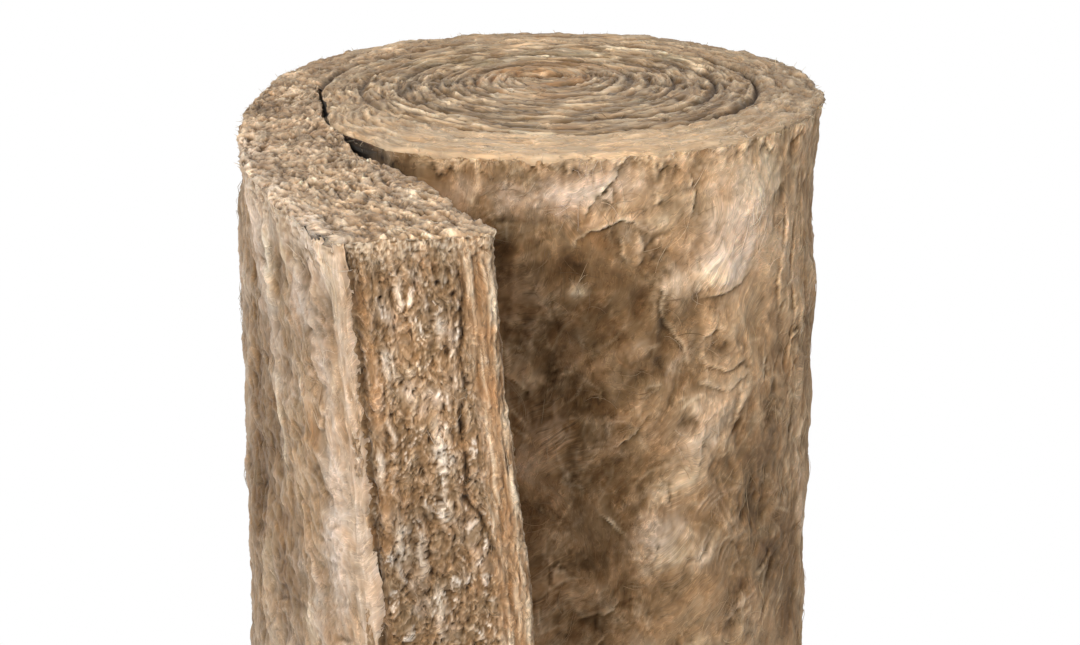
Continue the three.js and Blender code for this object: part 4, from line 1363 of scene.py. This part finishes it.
    def seams(self):
        """Cracks and dark lines between the turns, the rounded rim, and the slot of the eye."""
        s, l, w, h, inner = self.s, self.l, self.w, self.h, self.thick - self.l
        rim = (w < 1)[:, None]
        outer = np.where(rim, 1e3, l)
        for e, seam in ((outer, w), (inner, w + 1)):
            k = seam_strength(seam)
            h = h - ((1.5 + 5 * k) * np.exp(-self.jagged(e) / (1.3 + 1.3 * k)) + near(e, 8))
            h = mix(h, -1.5 - 5 * k, near(e, 1.6) * (seam < TURNS)[:, None])
        h = np.where(rim, h * (1 - 0.5 * near(l, 3)) - edge_round(l + 1.0), h)
        eye = smooth(w, TURNS - 1.6, TURNS - 1)[:, None]
        self.paint(0.4 * eye * smooth(noise(59, s / 22, l / 9, 2), -0.3, 0.6), RUST)
        slot = (w > TURNS - 1)[:, None]
        self.h = h - np.where(slot, 60 * np.clip(1 - inner / 1.2, 0, 1) + 7 * np.exp(-inner / 3), 0)
        # Painted shade along the seams' cracks and round the edge of the eye's slot
        shade = np.maximum(self.dark(outer, w), self.dark(inner, w + 1))
        self.paint(np.maximum(shade, np.where(slot, near(inner, 5), 0)), DEEP)

    def dark(self, e, w):
        # How much painted shade lies along a seam: more where it stands open
        k = seam_strength(w)
        return np.clip(0.3 + 1.2 * k, 0, 1) * near(self.jagged(e), 1.6 + 2.2 * k)

    def jagged(self, e):
        """Distance from a seam whose straight edges are broken up."""
        return np.maximum(e + 1.8 * noise(51, self.s / 9, self.l / 30, 3, 0.7), 0)

    def surface(self, up, stride, skirts):
        """Vertices, faces, colours, strip places and normals, with a skirt turned down inside each open edge."""
        r, c = (np.unique(np.append(np.arange(0, n, stride), n - 1)) for n in self.h.shape)
        z = HEIGHT - 1 + self.h if up else np.clip(1 - self.h, 0.3, 60)
        verts = np.concatenate([self.plan, z[..., None]], -1)
        strip = np.stack([self.b, self.a, 0 * self.a], -1)
        grids = [g[np.ix_(r, c)] for g in (verts, self.colour, strip, grid_normals(verts, not up))]
        for axis, first, inwards in skirts:
            grids = hem(grids, axis, first, HEIGHT - 10 if up else 10, inwards)
        verts, colour, strip, n = grids
        return verts, grid_faces(*verts.shape[:2], not up), colour, strip, n


def hem(grids, axis, first, level, inwards):
    """Adds one more line to a grid, dropped to a level just inside its first or last row or column."""
    verts, colour, strip, n = (np.moveaxis(g, axis, 0) for g in grids)
    verts, colour, strip, n = (g if first else g[::-1] for g in (verts, colour, strip, n))
    out = unit((verts[0] - verts[3]) * (1, 1, 0))
    low = verts[0] - inwards * out
    low[:, 2] = level
    # The dropped line takes its edge's colour, darkened a little as painted shade
    lines = [low, colour[0] * 0.8, strip[0] + (9.0, 0, 0), out]
    grids = [np.concatenate([line[None], g]) for line, g in zip(lines, (verts, colour, strip, n))]
    grids[3][1] = unit(grids[3][1] + out)
    return [np.moveaxis(g if first else g[::-1], 0, axis) for g in grids]


layered = wool_material("wool_layers", 2.2, 3.0, 0.004, 0.0007, 0.18, 0.5, 0.5, 0.3)
ACROSS, INNER_ACROSS = 36, 24  # how many steps go across the outermost turn, and across each inner one
ALONG_STEP, OUTER_STEP, INNER_STEP = 1.7, 2.3, 2.4
across = np.linspace(0, 1, 2 * ACROSS + 1)
along = np.append(np.arange(FREE_LENGTH - 1.5, 0, -ALONG_STEP), 0.0)
tail, tail_run = tail_plan(along, across)
skewed = FREE_THICKNESS / 2 * math.tan(CUT_SKEW)
run_out, run_in = FREE_LENGTH - skewed - CORNER, FREE_LENGTH + skewed - CORNER
outer_u = np.minimum(tail_run[:, 0], run_out + 12) * (MARK["corner_a"] - MARK["outside"]) / run_out
inner_u = MARK["root"] - tail_run[:, -1] * (MARK["root"] - MARK["inside"]) / run_in
tail = follow_skin(tail, MARK["outside"] + outer_u, inner_u)
# The corner follows the film that wraps round it
ahead = unit(tail[0, ACROSS] - tail[1, ACROSS])
push = max(float(rim_shift(np.array([MARK["corner_a"] + 8.0]))[0]), 0.0)
near_corner = np.exp(-(FREE_LENGTH - along) / 12)[:, None] * np.exp(-across * FREE_THICKNESS / 14)
tail = tail + ahead * (push * near_corner)[..., None]
w_outer, w_inner = windings(0.0, 1.0, OUTER_STEP), windings(1.0, float(TURNS), INNER_STEP)
outer = turn_plan(w_outer, np.linspace(0, 1, ACROSS + 1))
outer = follow_skin(outer, np.array([winding_u(w) for w in w_outer]))
ends = {"free_end": End(tail, -FREE_LENGTH), "outer_turn": End(outer, 0.0, w_outer)}
inner = turn_plan(w_inner, np.linspace(0, 1, INNER_ACROSS + 1))
ends["inner_turns"] = End(inner, float(ends["outer_turn"].s[-1, 0]), w_inner)
# The open edges' skirts: along the rows or across them, at the first or the last, and how far in
skirts = {
    "free_end": ((1, True, 5.0), (1, False, 6.0), (0, True, 8.0)),
    "outer_turn": ((1, True, 4.0),),
    "inner_turns": (),
}
for name, end in ends.items():
    for part, up, stride in (("_top", True, 1), ("_bottom", False, 2)):
        verts, faces, *rest = end.surface(up, stride, skirts[name])
        pieces.append(make_piece(name + part, verts, faces, layered, *rest))

# --- Loose fibres -------------------------------------------------------------------------------------

rng = np.random.default_rng(11)


def tubes(paths, radius):
    """Thin three-sided tubes along paths (n, k, 3), tapered to both ends."""
    n, k, _ = paths.shape
    tangent = unit(np.gradient(paths, axis=1))
    a = unit(np.cross(tangent, unit(rng.normal(size=(n, 1, 3)))))
    b = np.cross(tangent, a)
    taper = (0.35 + 0.65 * np.sin(math.pi * np.linspace(0.0, 1.0, k)))[None, :, None] * radius[:, None, None]
    turn = np.arange(3) * 2 * math.pi / 3
    ring = a[:, :, None] * np.cos(turn)[:, None] + b[:, :, None] * np.sin(turn)[:, None]
    verts = paths[:, :, None] + ring * taper[..., None]
    i = np.arange(n * k * 3).reshape(n, k, 3)
    lo, hi = i[:, :-1], i[:, 1:]
    faces = np.stack([lo, np.roll(lo, -1, 2), np.roll(hi, -1, 2), hi], -1).reshape(-1, 4)
    return verts.reshape(-1, 3), faces


def sampled(grid, r, c):
    """Bilinear samples of a grid at fractional rows and columns."""
    n_r, n_c = grid.shape[:2]
    r, c = np.clip(r, 0, n_r - 1.001), np.clip(c, 0, n_c - 1.001)
    i, j = r.astype(int), c.astype(int)
    fr, fc = (r - i)[..., None], (c - j)[..., None]
    low = grid[i, j] * (1 - fc) + grid[i, j + 1] * fc
    high = grid[i + 1, j] * (1 - fc) + grid[i + 1, j + 1] * fc
    return low * (1 - fr) + high * fr


def scattered(grid, normals, colour, spacing, bounds, count, length, lift, bend, points, heading=None, clump=4):
    """Fibres that lie about on a grid in small clumps, arching off it, in the colours of what they lie on."""
    r0, r1, c0, c1 = bounds
    seeds = -(-count // clump)
    n = seeds * clump
    r = np.repeat(rng.uniform(r0, r1, seeds), clump) + rng.normal(0, 2.5, n)
    c = np.repeat(rng.uniform(c0, c1, seeds), clump) + rng.normal(0, 2.5, n)
    r, c = np.clip(r, r0, r1), np.clip(c, c0, c1)
    if heading is None:
        heading = np.repeat(rng.uniform(0, 2 * math.pi, seeds), clump)
    length, lift = rng.uniform(*length, n), rng.uniform(*lift, n)
    heading = heading + rng.normal(0, 0.4, n)
    curve = rng.normal(0, bend, n)
    step = length / (points - 1)
    rs, cs = [r], [c]
    for _ in range(points - 1):
        rs.append(rs[-1] + step * np.cos(heading) / spacing[0])
        cs.append(cs[-1] + step * np.sin(heading) / spacing[1])
        heading = heading + curve * step + rng.normal(0, 0.12, n)
    rs, cs = np.stack(rs, 1), np.stack(cs, 1)
    off = -0.6 + (lift[:, None] + 0.6) * np.sin(math.pi * np.linspace(0, 1, points)[None, :] ** 0.8)
    paths = sampled(grid, rs, cs) + sampled(normals, rs, cs) * off[..., None]
    return paths, rng.uniform(0.16, 0.34, n), sampled(colour, r, c)


def sprouting(base, out, length):
    """Short, drooping fibres that stand out of a rim."""
    n = len(base)
    way = unit(out + rng.normal(0, 0.55, (n, 3)))
    turn = rng.normal(0, 0.5, (n, 3))
    t = np.linspace(0, 1, 5)[None, :, None]
    path = base[:, None] + length[:, None, None] * (way[:, None] * (t - 0.12) + turn[:, None] * t**2 * 0.6)
    path[..., 2] -= 0.25 * length[:, None] * (t[..., 0] ** 2)
    return path


def fibres(name, groups):
    """One piece from groups of paths, each with its radii and its colours."""
    verts, faces, colours, offset = [], [], [], 0
    for paths, radius, tone in groups:
        v, f = tubes(paths, radius)
        verts.append(v)
        faces.append(f + offset)
        offset += len(v)
        tone = tone * rng.uniform(0.9, 1.5, (len(paths), 1))
        colours.append(np.repeat(tone, paths.shape[1] * 3, axis=0))
    v = np.concatenate(verts)
    return make_piece(name, v, np.concatenate(faces), hair, np.concatenate(colours), v)


hair = wool_material("wool_fibre", 2.0, 1.0, 0.0, 0.0002, 0.2, 0.4, 0.0, 0.6)
n_rows, paint = len(rows.z), skin.colour
on_side = side_verts, side_normals, paint, (STEP, STEP)
on_cut = cut_verts, cut_normals, cut.colour, (STEP, CUT_STEP)
groups = [
    scattered(*on_side, (n_rows * 0.45, n_rows - 12, c_gap, c_right), 640, (18, 50), (0.4, 2.0), 0.04, 8),
    scattered(*on_side, (12, n_rows - 12, c_gap, c_film - 4), 900, (14, 40), (0.5, 2.5), 0.05, 6),
    scattered(*on_side, (12, n_rows - 12, c_root, c_film - 4), 240, (14, 40), (0.5, 2.0), 0.03, 6, 0.0),
    scattered(*on_cut, (10, n_rows - 12, 4, len(cut_u) - 5), 360, (6, 20), (0.3, 2.0), 0.06, 6, 0.0),
]
# Short fuzz along the top rim, then fibres that lie on the ends
count = 1300
k = rng.integers(c_gap - 60, c_film - 3, count)
rim_row = n_rows - rows.rim + 1
base = side_verts[rim_row + rng.integers(-4, 2, count), k]
fuzz = sprouting(base, side_normals[rim_row, k] + (0, 0, 0.3), rng.uniform(2.5, 7.5, count))
groups.append((fuzz, rng.uniform(0.2, 0.42, count), mix(paint[rim_row, k], PALE, 0.4)))
for end, count in zip(ends.values(), (420, 260, 380)):
    verts = np.concatenate([end.plan, (HEIGHT - 1 + end.h)[..., None]], -1)
    n_r, n_c = end.h.shape
    gaps = (2.2, float(np.median(end.thick)) / n_c)
    on_end = (verts, grid_normals(verts), end.colour, gaps, (6, n_r - 8, 2, n_c - 3))
    groups.append(scattered(*on_end, count, (6, 24), (0.3, 1.5), 0.05, 5, 0.0, 2))
# Loose curls that stand out of the crevice's shadow: winding and height along each
for places, lift in (
    (((0.799, 1105), (0.789, 1128), (0.786, 1160)), 4),
    (((0.775, 985), (0.764, 978), (0.756, 955), (0.757, 925)), 3),
    (((0.745, 700), (0.735, 715), (0.728, 745)), 4),
):
    curve = spline(np.array([(winding_u(w), z) for w, z in places]))
    strands = []
    for _ in range(2):
        moved = curve + rng.normal(0, 2.2, 2) + np.linspace(-1, 1, len(curve))[:, None] * rng.normal(0, 2.0, 2)
        r, c = np.interp(moved[:, 1], rows.place, np.arange(n_rows)), moved[:, 0] / STEP
        off = lift * np.sin(math.pi * np.linspace(0, 1, len(curve))) * rng.uniform(0.6, 1.1) + 0.4
        strands.append(sampled(side_verts, r, c) + sampled(side_normals, r, c) * off[:, None])
    groups.append((np.array(strands), rng.uniform(0.18, 0.3, 2), mix(TAN, DARK, 0.2)))
pieces.append(fibres("loose_fibres", groups))

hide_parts("wool_batt")

# --- Stage, light and camera ----------------------------------------------------------------------------

KEY_PLACE, KEY_TARGET, KEY_SIZE, KEY_POWER = (-1.35, -3.5, 3.0), (0.0, -0.1, 0.95), 1.1, 180.0
KEY_COLOUR = (1.0, 0.98, 0.96)
SKY_LIGHT = 0.42
WHITE = (1.0, 1.0, 1.0, 1.0)
FLOOR_REACH, FLOOR_GREY = 14.0, (0.85, 0.85, 0.85, 1.0)
FLOOR_FADE = 0.75, 1.15  # how far from the middle the floor turns to plain white
CAMERA_PLACE, CAMERA_PITCH = (0.002, -2.4793, 1.7638), 18.2
LENS, SENSOR = 83.33, 36.0


def add_key_light():
    data = bpy.data.lights.new("key", "AREA")
    data.shape, data.size, data.energy, data.color = "DISK", KEY_SIZE, KEY_POWER, KEY_COLOUR
    ob = bpy.data.objects.new("key", data)
    ob.location = KEY_PLACE
    ob.rotation_euler = (Vector(KEY_TARGET) - Vector(KEY_PLACE)).to_track_quat("-Z", "Y").to_euler()
    scene.collection.objects.link(ob)


def add_sky():
    """Even light from all round, which shows as plain white."""
    scene.world = bpy.data.worlds.new("studio")
    n = Nodes(scene.world)
    strength = n.new("ShaderNodeMix", {0: n.seen_by_eye(), 2: SKY_LIGHT, 3: 1.0}, data_type="FLOAT").outputs[0]
    background = n.new("ShaderNodeBackground", {"Color": WHITE, "Strength": strength}).outputs[0]
    n.new("ShaderNodeOutputWorld", {"Surface": background})


def add_floor():
    """A pale floor that takes the roll's shadow and turns to plain white further out."""
    me = bpy.data.meshes.new("floor")
    corners = [(x * FLOOR_REACH, y * FLOOR_REACH, 0) for x, y in ((-1, -1), (1, -1), (1, 1), (-1, 1))]
    me.from_pydata(corners, [], [(0, 1, 2, 3)])
    n = Nodes(bpy.data.materials.new("floor"))
    place = n.new("ShaderNodeTexCoord").outputs["Object"]
    distance = n.new("ShaderNodeVectorMath", {0: place}, operation="LENGTH").outputs["Value"]
    shown_white = n.math("MULTIPLY", n.ramp(distance, *FLOOR_FADE), n.seen_by_eye())
    matt = n.new("ShaderNodeBsdfDiffuse", {"Color": FLOOR_GREY}).outputs[0]
    white = n.new("ShaderNodeEmission", {"Color": WHITE, "Strength": 1.0}).outputs[0]
    mixed = n.new("ShaderNodeMixShader", {0: shown_white, 1: matt, 2: white}).outputs[0]
    n.new("ShaderNodeOutputMaterial", {"Surface": mixed})
    me.materials.append(n.owner)
    ob = bpy.data.objects.new("floor", me)
    scene.collection.objects.link(ob)


def add_camera():
    data = bpy.data.cameras.new("camera")
    data.sensor_width, data.sensor_fit, data.lens, data.clip_end = SENSOR, "HORIZONTAL", LENS, 100
    ob = bpy.data.objects.new("camera", data)
    ob.location = CAMERA_PLACE
    ob.rotation_euler = (math.radians(90 - CAMERA_PITCH), 0, 0)
    scene.collection.objects.link(ob)
    scene.camera = ob


scene = bpy.context.scene
scene.view_settings.view_transform = "Standard"
add_key_light()
add_sky()
add_floor()
add_camera()
